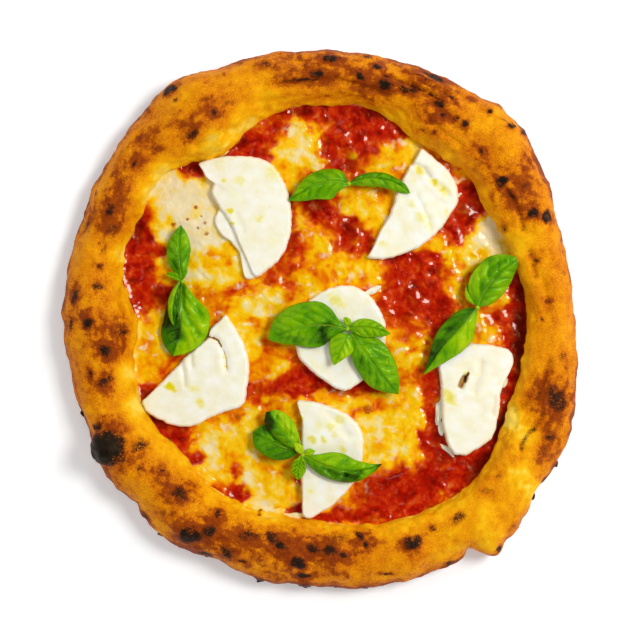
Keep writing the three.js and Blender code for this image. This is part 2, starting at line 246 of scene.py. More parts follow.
def along_line(points: Array, line: list[tuple[float, float]]) -> Array:
    """Distance of each point from a line of straight stretches.

    Args:
        points: rows of x, y in mm.
        line: corners of the line in mm.

    Returns:
        Distances in mm.
    """
    best = np.full(len(points), np.inf)
    for first, second in zip(line[:-1], line[1:]):
        start = np.array(first)
        step = np.array(second) - start
        share = np.clip((points - start) @ step / (step @ step), 0.0, 1.0)
        gap = np.linalg.norm(points - start - share[:, None] * step, axis=1)
        best = np.minimum(best, gap)
    return best


def spline(points: Array, count: int, closed: bool, tension: float = 0.5) -> Array:
    """Smooth curve through points, evenly spaced along its length.

    Args:
        points: the points that the curve runs through, one a row.
        count: how many points to return.
        closed: whether the curve joins its own start.
        tension: share of the chord that sets the slope at each point.

    Returns:
        The curve's points, one a row.
    """
    if closed:
        ring = np.concatenate([points[-1:], points, points[:2]])
    else:
        ring = np.concatenate([2 * points[:1] - points[1:2], points,
                               2 * points[-1:] - points[-2:-1]])
    spans = len(ring) - 3
    t = np.linspace(0.0, spans, spans * 40 + 1)
    first = np.minimum(t.astype(int), spans - 1)
    fine = cubic([ring[first + step] for step in range(4)], (t - first)[:, None], tension)
    length = np.concatenate([[0.0], np.cumsum(np.linalg.norm(np.diff(fine, axis=0), axis=1))])
    wanted = np.linspace(0.0, length[-1], count + 1 if closed else count)
    if closed:
        wanted = wanted[:-1]
    return np.column_stack([np.interp(wanted, length, fine[:, axis])
                            for axis in range(fine.shape[1])])


def grid_quads(cells: Array) -> Array:
    """Faces of a grid of corner numbers, four corners a row."""
    return np.stack([cells[:-1, :-1], cells[:-1, 1:], cells[1:, 1:], cells[1:, :-1]],
                    axis=-1).reshape(-1, 4)


def grid_normals(rows: Array) -> Array:
    """Outward unit normals of a grid of rings.

    Args:
        rows: rings of points, shaped rings by points by 3.

    Returns:
        A normal for each point, in the same shape.
    """
    along = np.roll(rows, -1, axis=1) - np.roll(rows, 1, axis=1)
    across = np.gradient(rows, axis=0)
    normal = np.cross(along, across)
    return normal / np.maximum(np.linalg.norm(normal, axis=2, keepdims=True), 1e-9)


@dataclass
class Surface:
    """A closed mesh in the making: corners in mm, faces, and a value a corner for each mask."""

    corners: Array
    quads: Array
    triangles: Array
    masks: dict[str, Array] = field(default_factory=dict)

    @staticmethod
    def from_rings(rows: Array, first: Array, last: Array) -> Surface:
        """Close a stack of rings with one point at each end.

        Args:
            rows: rings of points, shaped rings by points by 3.
            first: the point that closes the first ring.
            last: the point that closes the last ring.

        Returns:
            The closed surface, its faces pointing out if the rings run anticlockwise.
        """
        rings, count = rows.shape[:2]
        corners = np.concatenate([rows.reshape(-1, 3), first[None], last[None]])
        here = np.arange(count)
        there = (here + 1) % count
        base = (np.arange(rings - 1) * count)[:, None]
        quads = np.stack([base + here, base + there, base + count + there,
                          base + count + here], axis=-1).reshape(-1, 4)
        low, high = rings * count, rings * count + 1
        top = (rings - 1) * count
        triangles = np.concatenate([
            np.column_stack([np.full(count, low), there, here]),
            np.column_stack([np.full(count, high), top + here, top + there]),
        ])
        return Surface(corners, quads, triangles)

    def to_object(self, name: str, material: Material) -> Object:
        """Make the Blender object, in metres, smooth, with its masks as attributes.

        Args:
            name: name of the piece.
            material: what it is made of.

        Returns:
            The new object, linked to the scene.
        """
        mesh = bpy.data.meshes.new(name)
        mesh.vertices.add(len(self.corners))
        mesh.vertices.foreach_set("co", (self.corners * MM).astype(np.float32).ravel())
        loops = np.concatenate([self.quads.ravel(), self.triangles.ravel()])
        sizes = np.concatenate([np.full(len(self.quads), 4), np.full(len(self.triangles), 3)])
        mesh.loops.add(len(loops))
        mesh.loops.foreach_set("vertex_index", loops.astype(np.int32))
        mesh.polygons.add(len(sizes))
        starts = np.concatenate([[0], np.cumsum(sizes)[:-1]])
        mesh.polygons.foreach_set("loop_start", starts.astype(np.int32))
        mesh.polygons.foreach_set("use_smooth", np.ones(len(sizes), dtype=bool))
        for mask, values in self.masks.items():
            layer = mesh.attributes.new(mask, "FLOAT", "POINT")
            layer.data.foreach_set("value", values.astype(np.float32))
        mesh.update(calc_edges=True)
        mesh.validate()
        mesh.materials.append(material)
        piece = bpy.data.objects.new(name, mesh)
        bpy.context.scene.collection.objects.link(piece)
        return piece


def merged(parts: list[Surface]) -> Surface:
    """Several closed surfaces as one.

    Args:
        parts: the surfaces, which all have the same masks.

    Returns:
        One surface with all their faces.
    """
    starts = np.cumsum([0] + [len(part.corners) for part in parts])
    return Surface(
        np.concatenate([part.corners for part in parts]),
        np.concatenate([part.quads + start for part, start in zip(parts, starts)]),
        np.concatenate([part.triangles + start for part, start in zip(parts, starts)]),
        {name: np.concatenate([part.masks[name] for part in parts])
         for name in parts[0].masks})


# A Mix node blends its colours 6 and 7 by the share at 0, with these settings.
COLOURS = {"data_type": "RGBA", "out": 2}


def add(tree: NodeTree, kind: str, inputs: dict | None = None,
        stops: list[tuple[float, str]] | None = None, out: int | str = 0,
        **settings: object) -> NodeSocket | None:
    """Add a node with its settings and links.

    Args:
        tree: the node tree to add to.
        kind: the node's type name, without the ShaderNode that they all begin with.
        inputs: value or output socket for each input, by name or number.
        stops: places and sRGB colours of a colour ramp.
        out: name or number of the output wanted.
        settings: the node's own properties.

    Returns:
        That output, or nothing where a node has no output.
    """
    node = tree.nodes.new("ShaderNode" + kind)
    for name, value in settings.items():
        setattr(node, name, value)
    if stops:
        elements = node.color_ramp.elements
        while len(elements) < len(stops):
            elements.new(0.5)
        for element, (place, colour) in zip(elements, stops):
            element.position = place
            element.color = srgb(colour)
    for socket, value in (inputs or {}).items():
        if isinstance(value, NodeSocket):
            tree.links.new(value, node.inputs[socket])
        else:
            node.inputs[socket].default_value = value
    return node.outputs[out] if len(node.outputs) else None


def blank(name: str, masks: tuple[str, ...], noises: Table) -> tuple[
        Material, NodeTree, list[NodeSocket], list[NodeSocket]]:
    """A new material with the masks and noises that its other nodes work from.

    Args:
        name: name of the material.
        masks: names of the attributes that it reads.
        noises: size in mm, detail, roughness and distortion of each noise.

    Returns:
        The material, its node tree, and a socket for each mask and each noise.
    """
    material = bpy.data.materials.new(name)
    material.use_nodes = True
    tree = material.node_tree
    tree.nodes.clear()
    place = add(tree, "TexCoord", out="Object")
    values = [add(tree, "Attribute", attribute_name=mask, out="Fac") for mask in masks]
    grains = [add(tree, "TexNoise", {"Vector": place, "Scale": per_mm(size), "Detail": detail,
                                     "Roughness": rough, "Distortion": twist})
              for size, detail, rough, twist in noises]
    return material, tree, values, grains


@dataclass(frozen=True)
class BakedDough:
    """Wheat dough baked on hot stone: a dry matt skin that browns unevenly and chars in spots.

    The skin's low sheen and its freckles of brown over yellow tell the eye that it is crisp.
    """

    freckle_mm: float = 0.9
    cloud_mm: float = 7.0
    scab_mm: float = 4.4
    pepper_mm: float = 2.4
    pore_mm: float = 0.9
    roughness: float = 0.6

    def material(self) -> Material:
        """Build the node material from the toast, char and stain masks.

        Returns:
            The material.
        """
        material, tree, (toast, char, stain), (fine, broad, patchy, peppered, pores) = blank(
            "baked_wheat_dough", ("toast", "char", "stain"), (
                (self.freckle_mm, 2.0, 0.62, 0.0), (self.cloud_mm, 5.0, 0.62, 0.0),
                (self.scab_mm, 6.0, 0.78, 0.0), (self.pepper_mm, 3.0, 0.6, 0.0),
                (self.pore_mm, 4.0, 0.65, 0.0)))
        freckle, cloud, crisp = (
            add(tree, "Math", {0: noise, 1: 0.5}, operation="SUBTRACT")
            for noise in (fine, broad, patchy))
        depth = add(tree, "Math", {0: toast, 1: 1.2, 2: 0.12}, operation="MULTIPLY_ADD")
        freckled = add(tree, "Math", {0: freckle, 1: depth, 2: toast}, operation="MULTIPLY_ADD")
        browned = add(tree, "Math", {0: cloud, 1: 0.38, 2: freckled}, operation="MULTIPLY_ADD")
        skin = add(tree, "ValToRGB", {"Fac": browned}, stops=[
            (0.0, "#FFD850"), (0.12, "#FDC00A"), (0.28, "#F3A200"), (0.45, "#DE8000"),
            (0.62, "#C86400"), (0.8, "#9A4000"), (1.0, "#602004")])
        # Scabs: ragged red-brown patches that spread where the skin is well toasted.
        spread = add(tree, "Math", {0: toast, 1: 0.8, 2: patchy}, operation="MULTIPLY_ADD")
        scab = add(tree, "MapRange", {
            "Value": spread, "From Min": 0.93, "From Max": 1.04, "To Max": 0.74})
        scabbed = add(tree, "Mix", {0: scab, 6: skin, 7: srgb("#8E3402")}, **COLOURS)
        crowd = add(tree, "Math", {0: toast, 1: 0.36, 2: peppered}, operation="MULTIPLY_ADD")
        pepper = add(tree, "MapRange", {
            "Value": crowd, "From Min": 0.83, "From Max": 0.9, "To Max": 0.62})
        specked = add(tree, "Mix", {0: pepper, 6: scabbed, 7: srgb("#7C2C04")}, **COLOURS)
        # Scorches: the same patches and freckles break up their borders.
        ragged = add(tree, "Math", {0: crisp, 1: 3.2, 2: 1.0}, operation="MULTIPLY_ADD")
        grain = add(tree, "Math", {0: freckle, 1: 2.0, 2: ragged}, operation="MULTIPLY_ADD")
        scorch = add(tree, "Math", {0: char, 1: grain}, operation="MULTIPLY")
        burnt = add(tree, "ValToRGB", {"Fac": scorch}, stops=[
            (0.1, "#A84A02"), (0.3, "#7E3004"), (0.52, "#421B09"), (0.8, "#170D0A"),
            (1.0, "#0C0706")])
        cover = add(tree, "MapRange", {"Value": scorch, "From Min": 0.06, "From Max": 0.5})
        black = add(tree, "Mix", {0: cover, 6: specked, 7: burnt}, **COLOURS)
        sauced = add(tree, "Mix", {0: stain, 6: black, 7: srgb("#D8560A")}, **COLOURS)
        relief = add(tree, "Bump", {"Height": pores, "Strength": 0.8, "Distance": 0.5 * MM})
        # A burst blister is baked to a glassy black skin.
        shine, glaze = (
            add(tree, "MapRange", {"Value": char, "From Min": 0.7, "From Max": 1.2,
                                   "To Min": crust, "To Max": blister})
            for crust, blister in ((self.roughness, 0.26), (0.2, 0.24)))
        shader = add(tree, "BsdfPrincipled", {
            "Base Color": sauced, "Roughness": shine, "IOR": 1.45, "Specular IOR Level": glaze,
            "Specular Tint": srgb("#FFD8A0"), "Normal": relief})
        add(tree, "OutputMaterial", {"Surface": shader})
        return material


@dataclass(frozen=True)
class SauceAndMelt:
    """Crushed tomato with mozzarella melted into it under olive oil: wet, lumpy and glossy.

    The melt mask runs from bare sauce at 0 to pure cream-coloured cheese at 1, with orange and
    yellow between, where the tomato's colour has gone into the fat of the cheese.
    """

    name: str = "crushed_tomato_and_melt"
    pulp_mm: float = 6.5
    curd_mm: float = 9.0
    speck_mm: float = 1.5
    fleck_mm: float = 7.5
    ripple_mm: float = 5.0
    roughness: float = 0.3

    def material(self) -> Material:
        """Build the node material from the melt, brown and deep masks.

        Returns:
            The material.
        """
        material, tree, (melt, brown, deep), (pulp, curd, speck, flecks, ripple) = blank(
            self.name, ("melt", "brown", "deep"), (
                (self.pulp_mm, 2.0, 0.6, 0.3), (self.curd_mm, 2.0, 0.6, 0.3),
                (self.speck_mm, 2.0, 0.6, 0.0), (self.fleck_mm, 2.0, 0.5, 0.3),
                (self.ripple_mm, 3.0, 0.5, 0.2)))
        tomato = add(tree, "ValToRGB", {"Fac": pulp}, stops=[
            (0.3, "#800400"), (0.42, "#A40C00"), (0.53, "#BE1C02"), (0.64, "#CE3A08"),
            (0.76, "#DC6C30")])
        curdled = add(tree, "Math", {0: curd, 1: 0.5}, operation="SUBTRACT")
        swing = add(tree, "Math", {0: melt, 1: -1.5, 2: 2.05}, operation="MULTIPLY_ADD")
        rich = add(tree, "Math", {0: curdled, 1: swing, 2: melt}, operation="MULTIPLY_ADD")
        cheese = add(tree, "ValToRGB", {"Fac": rich}, stops=[
            (0.22, "#CC3C00"), (0.38, "#E05C00"), (0.53, "#F08A00"), (0.65, "#FAB400"),
            (0.78, "#FCCA14"), (0.88, "#F8DA70"), (1.0, "#F2E0B0")])
        # Flecks of curd that stayed whole while the rest ran.
        whole = add(tree, "Math", {0: melt, 1: 0.22, 2: flecks}, operation="MULTIPLY_ADD")
        flecked = add(tree, "MapRange", {
            "Value": whole, "From Min": 0.74, "From Max": 0.86, "To Max": 0.72})
        creamy = add(tree, "Mix", {0: flecked, 6: cheese, 7: srgb("#F8E8BC")}, **COLOURS)
        ragged = add(tree, "Math", {0: curdled, 1: 0.7, 2: melt}, operation="MULTIPLY_ADD")
        share = add(tree, "MapRange", {"Value": ragged, "From Min": 0.16, "From Max": 0.45})
        colour = add(tree, "Mix", {0: share, 6: tomato, 7: creamy}, **COLOURS)
        speckled = add(tree, "Math", {0: speck, 1: 0.9, 2: brown}, operation="MULTIPLY_ADD")
        toasted = add(tree, "MapRange", {"Value": speckled, "From Min": 0.75, "From Max": 1.15})
        browned = add(tree, "Mix", {0: toasted, 6: colour, 7: srgb("#B4560C")}, **COLOURS)
        # Painted shade, partly also darker thick sauce: the sauce is darkened under the rim's
        # inner wall, in the nook at the upper left and along the slices' edges.
        darkened = add(tree, "Mix", {0: deep, 6: browned, 7: srgb("#520400")}, **COLOURS)
        relief = add(tree, "Bump", {"Height": ripple, "Strength": 0.7, "Distance": 1.4 * MM})
        shader = add(tree, "BsdfPrincipled", {
            "Base Color": darkened, "Roughness": self.roughness, "IOR": 1.45,
            "Specular IOR Level": 0.3, "Specular Tint": srgb("#FFB070"),
            "Coat Weight": 0.6, "Coat Roughness": 0.07, "Normal": relief})
        add(tree, "OutputMaterial", {"Surface": shader})
        return material


@dataclass(frozen=True)
class FreshMozzarella:
    """Stretched curd cut with a knife: white, dense and damp, with whey and oil on it.

    Light goes a little way in, which rounds its edges, and the damp skin has a soft shine.
    """

    curd_mm: float = 7.0
    oil_mm: float = 2.4
    grain_mm: float = 2.0
    roughness: float = 0.36

    def material(self) -> Material:
        """Build the node material from the oil mask and the fold and pit masks of painted shade.

        Returns:
            The material.
        """
        material, tree, (oil, fold, pit), (curd, spread, grain) = blank(
            "cut_fresh_mozzarella", ("oil", "fold", "pit"), (
                (self.curd_mm, 3.0, 0.5, 0.0), (self.oil_mm, 3.0, 0.6, 0.0),
                (self.grain_mm, 4.0, 0.6, 0.0)))
        white = add(tree, "ValToRGB", {"Fac": curd}, stops=[
            (0.3, "#F8EFCC"), (0.5, "#FCF6DE"), (0.7, "#FFFCEF")])
        # Painted shade: the creases are tinted grey-green where they would lie in shade.
        crease_shaded = add(tree, "Mix", {0: fold, 6: white, 7: srgb("#B8AC6C")}, **COLOURS)
        edge = add(tree, "Math", {0: spread, 1: 0.5}, operation="SUBTRACT")
        pooled = add(tree, "Math", {0: edge, 1: 0.6, 2: oil}, operation="MULTIPLY_ADD")
        wet = add(tree, "MapRange", {"Value": pooled, "From Min": 0.08, "From Max": 1.0})
        film = add(tree, "ValToRGB", {"Fac": wet}, stops=[
            (0.1, "#FAF5D4"), (0.5, "#F5EA92"), (0.95, "#E8D610")])
        cover = add(tree, "MapRange", {"Value": wet, "From Max": 0.3})
        oiled = add(tree, "Mix", {0: cover, 6: crease_shaded, 7: film}, **COLOURS)
        # Painted shade in the torn holes and cracks, darker the deeper the pit.
        depth = add(tree, "ValToRGB", {"Fac": pit}, stops=[
            (0.2, "#E0C88C"), (0.6, "#B07428"), (1.0, "#4C2C08")])
        torn = add(tree, "MapRange", {"Value": pit, "From Max": 0.35})
        pitted = add(tree, "Mix", {0: torn, 6: oiled, 7: depth}, **COLOURS)
        gloss = add(tree, "MapRange", {"Value": wet, "To Min": self.roughness, "To Max": 0.12})
        relief = add(tree, "Bump", {"Height": grain, "Strength": 0.2, "Distance": 0.25 * MM})
        shader = add(tree, "BsdfPrincipled", {
            "Base Color": pitted, "Roughness": gloss, "IOR": 1.4,
            "Subsurface Weight": 0.35, "Subsurface Radius": (1.0, 0.8, 0.55),
            "Subsurface Scale": 2.5 * MM, "Specular IOR Level": 0.4, "Normal": relief})
        add(tree, "OutputMaterial", {"Surface": shader})
        return material


@dataclass(frozen=True)
class BasilBlade:
    """A fresh sweet basil leaf: waxy, softly puckered, yellower where light passes through it.

    The wax gives it small sharp highlights over a smooth dark green.
    """

    cell_mm: float = 1.4
    cloud_mm: float = 7.0
    roughness: float = 0.27

    def material(self) -> Material:
        """Build the node material from the tone, vein and wilt masks.

        Returns:
            The material.
        """
        material, tree, (tone, vein, wilt), (cells, clouds) = blank(
            "fresh_basil_leaf", ("tone", "vein", "wilt"),
            ((self.cell_mm, 3.0, 0.55, 0.0), (self.cloud_mm, 3.0, 0.55, 0.0)))
        mottle = add(tree, "Math", {0: cells, 1: 0.26, 2: tone}, operation="MULTIPLY_ADD")
        level = add(tree, "Math", {0: clouds, 1: 0.5, 2: mottle}, operation="MULTIPLY_ADD")
        # The two noises lift the tone by 0.38 on average, so the range starts that much higher.
        green = add(tree, "MapRange", {"Value": level, "From Min": 0.4, "From Max": 1.4})
        # The tone mask carries painted light and shade, so this ramp paints the shaded parts
        # dark green and the lit parts yellow-green.
        blade = add(tree, "ValToRGB", {"Fac": green}, stops=[
            (0.0, "#142C00"), (0.2, "#2E6200"), (0.46, "#569600"), (0.68, "#82B400"),
            (1.0, "#B4D010")])
        veined = add(tree, "Mix", {0: vein, 6: blade, 7: srgb("#A4C420")}, **COLOURS)
        wilted = add(tree, "Mix", {0: wilt, 6: veined, 7: srgb("#1A1600")}, **COLOURS)
        relief = add(tree, "Bump", {"Height": cells, "Strength": 0.25, "Distance": 0.2 * MM})
        shader = add(tree, "BsdfPrincipled", {
            "Base Color": wilted, "Roughness": self.roughness, "IOR": 1.45,
            "Specular IOR Level": 0.34, "Specular Tint": srgb("#D0FF90"), "Normal": relief})
        add(tree, "OutputMaterial", {"Surface": shader})
        return material


@dataclass
class Mark:
    """A scorched or toasted spot: place, half sizes, turn in degrees, strength and rise."""

    x: float
    y: float
    long: float
    wide: float
    turn: float = 0.0
    burn: float = 0.6
    rise: float = 0.0


@dataclass
class Fold:
    """A groove, slit or torn pit: its line, half width, depth and how much painted shade it
    gets.
    """

    line: list[tuple[float, float]]
    width: float
    depth: float
    shade: float


# Bubbles of the rim, as in the measured model: place in degrees, place across the rim, reach
# and height.
BUBBLES = [
    (211, 0.8, 12, 3.2), (50, 0.9, 12, 2.4), (308, 0.97, 14, 5.2), (121, 0.3, 15, 2.4),
    (236, 0.72, 14, 2.2), (24, 0.55, 10, 1.8), (272, 0.45, 13, 2), (88, 0.75, 12, 1.9),
    (164, 0.7, 12, 1.9), (289, 0.75, 13, 2.1), (340, 0.8, 11, 1.7),
]
# Creases: the degrees and the places across the rim of both ends, width and depth.
CREASES = [(52, 75, 0.35, 0.8, 3.4, 2), (326, 344, 0.35, 0.75, 3.2, 1.8)]

# Scorched spots: x, y, half sizes, turn in degrees, how burnt, and how far raised.
SCORCHES = [Mark(*row) for row in (
    (-84.6, 129, 4.8, 3.2, 25, 1), (-80.5, 122, 2.6, 1.6, 20, 0.55),
    (-59, 115, 2.4, 2, 0, 0.55), (-52, 120, 5.5, 1.3, 25, 0.42), (-72, 104, 7, 2.2, 35, 0.45),
    (-92, 96, 3.2, 3, 0, 0.4), (-105, 87, 4.4, 2.2, 40, 0.55), (-97, 104, 3.6, 1.6, 45, 0.36),
    (-84, 108, 4.4, 1.8, 30, 0.34), (-64, 122, 3.6, 1.4, 25, 0.36),
    (-110, 78, 4.6, 3.2, 55, 0.42), (-118, 62, 5.5, 3.6, 75, 0.55),
    (-117, 50, 4.6, 3.4, 80, 0.42), (-122, 40, 4.6, 1.6, 75, 0.4),
    (-126.5, 70, 1.8, 1.2, 60, 0.6), (-132, 52, 5.5, 1.6, 70, 0.5), (-31, 143, 3.8, 2, 10, 0.7),
    (-64, 132, 1.3, 1.1, 0, 0.4), (-10, 134, 13, 2, 4, 0.62),
    (-2, 138, 4.6, 2.6, 0, 0.95, 0.5), (6, 146.5, 5.2, 3, 5, 0.95, 0.6),
    (22, 136, 4.2, 3, -30, 0.85, 0.4), (32, 142, 4, 2.6, 0, 0.75, 0.3),
    (27, 149, 3.2, 1.5, -5, 0.6), (-12, 152, 4, 1.2, 0, 0.55),
    (37, 131, 4.6, 3.4, -20, 0.85, 0.4), (49, 129, 6.5, 2.2, -15, 0.7),
    (64, 137, 8, 2.4, -32, 0.9), (57, 136, 9, 1.1, -26, 0.6),
    (74, 124.5, 3.8, 1.5, -30, 0.75), (66, 121, 3.8, 2.3, 0, 0.75, 0.3),
    (69, 114, 4.2, 2.6, 10, 0.5), (80.5, 109, 2.8, 2.5, 0, 0.6), (76, 112, 1.6, 1.2, 0, 0.5),
    (95, 117, 2.6, 2.3, 0, 0.75), (107.5, 108.5, 2.4, 2.3, 0, 0.85, 0.2),
    (103, 110.5, 3.6, 1, -12, 0.5), (101, 122.3, 4.2, 1.3, -25, 0.8),
    (115, 107, 4.6, 1.6, -62, 0.85), (90, 94, 2, 3.2, 0, 0.6), (64, 105, 1.5, 1.1, 0, 0.5),
    (102, 77, 4.4, 3, 10, 0.95, 0.3), (108, 69, 4.6, 2.4, -50, 0.5),
    (115, 75, 3.6, 3, 0, 0.38), (119, 59.5, 4.6, 4, -30, 0.85, 0.3),
    (127.5, 57.5, 3.2, 3.6, 0, 1, 0.5), (121, 90, 4.5, 3.5, 0, 0.3),
    (104, 51, 2.2, 3.2, 0, 0.42), (-118.8, -71.9, 9.8, 10, 0, 1.5, 5.2),
    (-124.6, -61.5, 3.4, 4.6, -10, 0.66), (-110, -79, 3, 3.6, 0, 0.6),
    (-101, -71, 5, 3.8, 0, 0.62), (-73, -121, 7.2, 5.6, 0, 1, 0.9),
    (-62, -119, 5, 4.6, 0, 0.82, 0.4), (-79, -98, 6.5, 4.6, -10, 0.58),
    (-80, -100, 2.2, 1.5, 0, 0.6), (-101, -84, 2.2, 2.6, 0, 0.46), (-89, -84, 2.4, 3.6, 20, 0.5),
    (-57, -110, 2.4, 3.6, -20, 0.62), (-34, -110, 1.3, 1.1, 0, 0.65),
    (-65, -132.5, 4.2, 1.6, -8, 0.8), (-52, -131, 5.2, 3.6, -20, 0.72),
    (-44, -136, 2.8, 1.6, -20, 0.8), (-40, -121, 9, 4, -8, 0.5),
    (-27, -123, 6, 4, -20, 0.62), (-21, -128, 4, 3, 0, 0.9, 0.4),
    (-12, -136.5, 4.4, 4, 0, 0.95, 0.6), (-9, -144, 4.6, 1.8, 0, 0.85),
    (-4, -129, 6.4, 3.4, -15, 0.64), (6, -130, 5, 3.4, 0, 0.72, 0.3),
    (13, -133, 3.6, 2.4, 0, 0.68), (22.5, -122, 3.2, 3.4, 0, 0.72, 0.3),
    (26, -127, 3, 2.6, 0, 0.64), (10, -124, 9, 4, 0, 0.34),
    (52, -125, 5.4, 4.2, 15, 0.98, 0.8), (38, -143.5, 3.4, 0.9, 0, 0.75),
    (64, -117.5, 2.2, 1.7, 0, 0.65), (78, -112, 4.4, 2.6, 10, 0.62),
    (101, -130, 1.8, 2.4, 0, 0.7), (75, -138, 6.5, 1.8, 12, 0.6),
    (132.5, -45, 6.2, 10, 8, 0.64), (133, -46, 3.4, 6, 10, 0.76),
    (129.5, -66, 4.4, 5.5, 0, 0.44), (126, -75, 5, 4.4, 0, 0.3), (100, -88, 2.4, 1.6, 30, 0.4),
    (93, -97, 3.2, 2.4, 0, 0.4), (123, -43, 3, 1, 25, 0.62), (-122, -36, 3, 4, 0, 0.5),
    (-120, -18, 5, 3.6, 0, 0.72), (-130, -2, 2.6, 4, 0, 0.85, 0.3),
    (-138, 12, 2.4, 6, -5, 0.72), (-140.5, -3, 1.6, 5, 0, 0.55),
    (-124, 18, 3.8, 3.4, 0, 0.48), (-124.5, 29, 2.4, 2, 0, 0.48), (-112, -7, 4, 4.4, 0, 0.48),
    (-128.5, -31, 2, 3, 0, 0.7), (-118, -33, 2.4, 3.4, 0, 0.55),
    (-100, -111, 1.6, 4.2, 25, 0.6), (-34, -148.5, 3, 1.3, 0, 0.95),
    (-9, -151, 3.2, 1.2, 0, 0.95), (25, -152, 2.6, 1.1, 0, 0.85), (-135, -54, 1.4, 2.6, 20, 0.7),
    (-91, -123.5, 1.4, 1.4, 0, 0.8), (134, -83, 2, 1.6, 0, 0.65),
    (127, -91.5, 2, 1.2, 0, 0.65), (122, -102, 1.5, 1.8, 0, 0.65),
    (138, -75.5, 1.8, 1.4, 0, 0.55), (121, 33, 3.4, 2.4, -35, 0.4), (128, 10, 2.2, 1.8, 0, 0.55),
    (137, -20, 2.4, 2.4, 0, 0.5), (125, 0, 1.8, 1.4, 0, 0.45),
)]

# Bays, spurs and nicks of the outline: place in degrees, push in mm and spread in degrees.
EDGE = [
    (302.7, -3.2, 1.1), (306.4, 2.6, 1.6), (298.8, 1.3, 2), (309.6, -1.8, 1.4),
    (321.6, -3.2, 3), (50, -2.4, 4.4), (63, 1.2, 1.5), (84.5, -1, 2),
    (112, -4, 7.5), (142, -2.8, 7), (181.5, -1.4, 2.5), (204.5, -3.4, 9),
    (223.4, -2.6, 3), (225.4, -2, 1.3), (231.6, 1.4, 1.8), (247.4, -2.2, 4),
    (358.8, 1.1, 3.2), (315.2, -1.6, 1.8), (259.6, 2.3, 3.4), (274.5, -1.8, 3),
    (257, 0.9, 0.9), (266.6, 0.9, 0.9), (333, 1.8, 3), (336.5, 0.8, 0.9), (42.6, 0.8, 1.2),
    (50.2, 0.9, 1.2), (24, -1.6, 4), (346.8, -1.6, 2.6), (72, -1.2, 2), (328.2, 0.8, 0.7),
    (302, -0.6, 4),
]

# Folds and tears of the rim's skin, each with painted shade in its groove.
TEARS = (
    Fold([(125.5, -54.5), (121, -61), (116, -66.5), (113, -73)], 1.6, 2, 0.38),
    Fold([(110, -52), (117, -47.5), (124, -42.5), (126.5, -34), (129, -24)], 1.6, 1.6, 0.27),
    Fold([(104, -72), (108, -63), (111, -55)], 1.4, 1.1, 0.1),
    Fold([(56, 134.5), (66, 129.5), (75, 124.5)], 1.2, 1.7, 0.36),
    Fold([(36, 137.5), (49, 133), (61, 127.5), (68, 122.5)], 1.3, 2, 0.42),
    Fold([(-24, 131), (-8, 132), (8, 134.4), (24, 130), (38, 126)], 1.9, 1.9, 0.24),
    Fold([(105, 72.5), (109, 65), (113, 57.5), (114, 50)], 1.3, 1.8, 0.36),
    Fold([(118, 38), (120.5, 31), (121, 24)], 1.7, 1.4, 0.26),
    Fold([(125, 24), (127.5, 12), (127, 2)], 1.6, 1, 0.12),
    Fold([(-100, 62), (-96, 72), (-90, 80)], 1.5, 1, 0.05),
    Fold([(-70, 97), (-60, 101), (-50, 107)], 1.5, 1.1, 0.12),
    Fold([(-56, -101), (-44, -108), (-30, -112)], 1.4, 1.1, 0.08),
    Fold([(-104, -30), (-103, -42), (-99, -54)], 1.5, 1, 0.05),
    Fold([(-84, -112), (-74, -109), (-66, -111)], 1.5, 1, 0.1),
    Fold([(60, 112), (70, 104), (79, 98)], 1.5, 1.1, 0.14),
    Fold([(28, -114), (44, -113), (60, -108)], 1.5, 1, 0.06),
    Fold([(-110, 30), (-113, 14), (-110, 2)], 1.5, 1, 0.12),
)

# Where the skin baked darker or stayed paler: place, reach and change of toast.
TOASTED = [
    (-110, 75, 18, 0.2), (-95, 97, 15, 0.18), (-72, 106, 12, 0.2), (-59, 116, 11, 0.2),
    (-118, 56, 14, 0.22), (-125, -2, 16, 0.18), (-116, -16, 13, 0.26), (-122, 24, 10, 0.06),
    (-122, -36, 13, 0.2), (-115, -57, 9, 0.12), (-112, -86, 14, 0.04), (-80, -100, 16, 0.16),
    (-67, -122, 16, 0.22), (-42, -126, 15, 0.22), (-16, -129, 17, 0.24), (9, -129, 15, 0.2),
    (26, -125, 9, 0.18), (0, -142, 32, 0.12), (-22, 140, 16, 0.14), (3, 138, 20, 0.22),
    (33, 133, 16, 0.22), (60, 126, 18, 0.24), (70, 113, 10, 0.16), (90, 95, 12, 0.12),
    (114, 74, 18, 0.22), (121, 92, 13, 0.14), (127.5, -58, 13, 0.16), (126, -42, 13, 0.14),
    (124.5, -73, 9, 0.16), (95, -97, 10, 0.08), (52, -127, 14, 0.12), (-138, 22, 8, 0.04),
    (-98, 72, 11, -0.34), (-90, 85, 9, -0.32), (-45, 112, 13, -0.14), (-30, 129, 12, -0.18),
    (-62, 101, 9, -0.22), (-104, -50, 9, -0.2), (-78, -80, 8, -0.06), (-58, -101, 8, -0.1),
    (-30, -113, 13, -0.12), (10, -117, 15, -0.14), (50, -117, 10, -0.14),
    (85, -112, 20, -0.16), (110, -100, 15, -0.1), (117, -67, 12, -0.34),
    (112, -86, 11, -0.26), (109, -56, 9, -0.3), (115, 45, 12, -0.24), (129, 44, 9, -0.04),
    (100, 114, 14, -0.06), (113, 100, 12, -0.04), (119, 10, 9, 0.1), (-114, 38, 10, -0.22),
    (-111, -30, 9, -0.24), (58, 132, 5, -0.1), (74, 95, 11, 0.06), (98, -127, 10, -0.22),
    (-132, 88, 10, -0.05), (92, 84, 15, 0.14), (106, 62, 12, 0.12), (62, 107, 13, 0.1),
    (-20, 124, 20, 0.06), (20, 124, 18, 0.08), (70, -128, 14, -0.12), (119, -97, 8, -0.3),
    (-90, -87, 10, 0.17), (-60, -110, 9, 0.16), (-102, -81, 8, 0.12), (-74, -94, 8, 0.1),
]


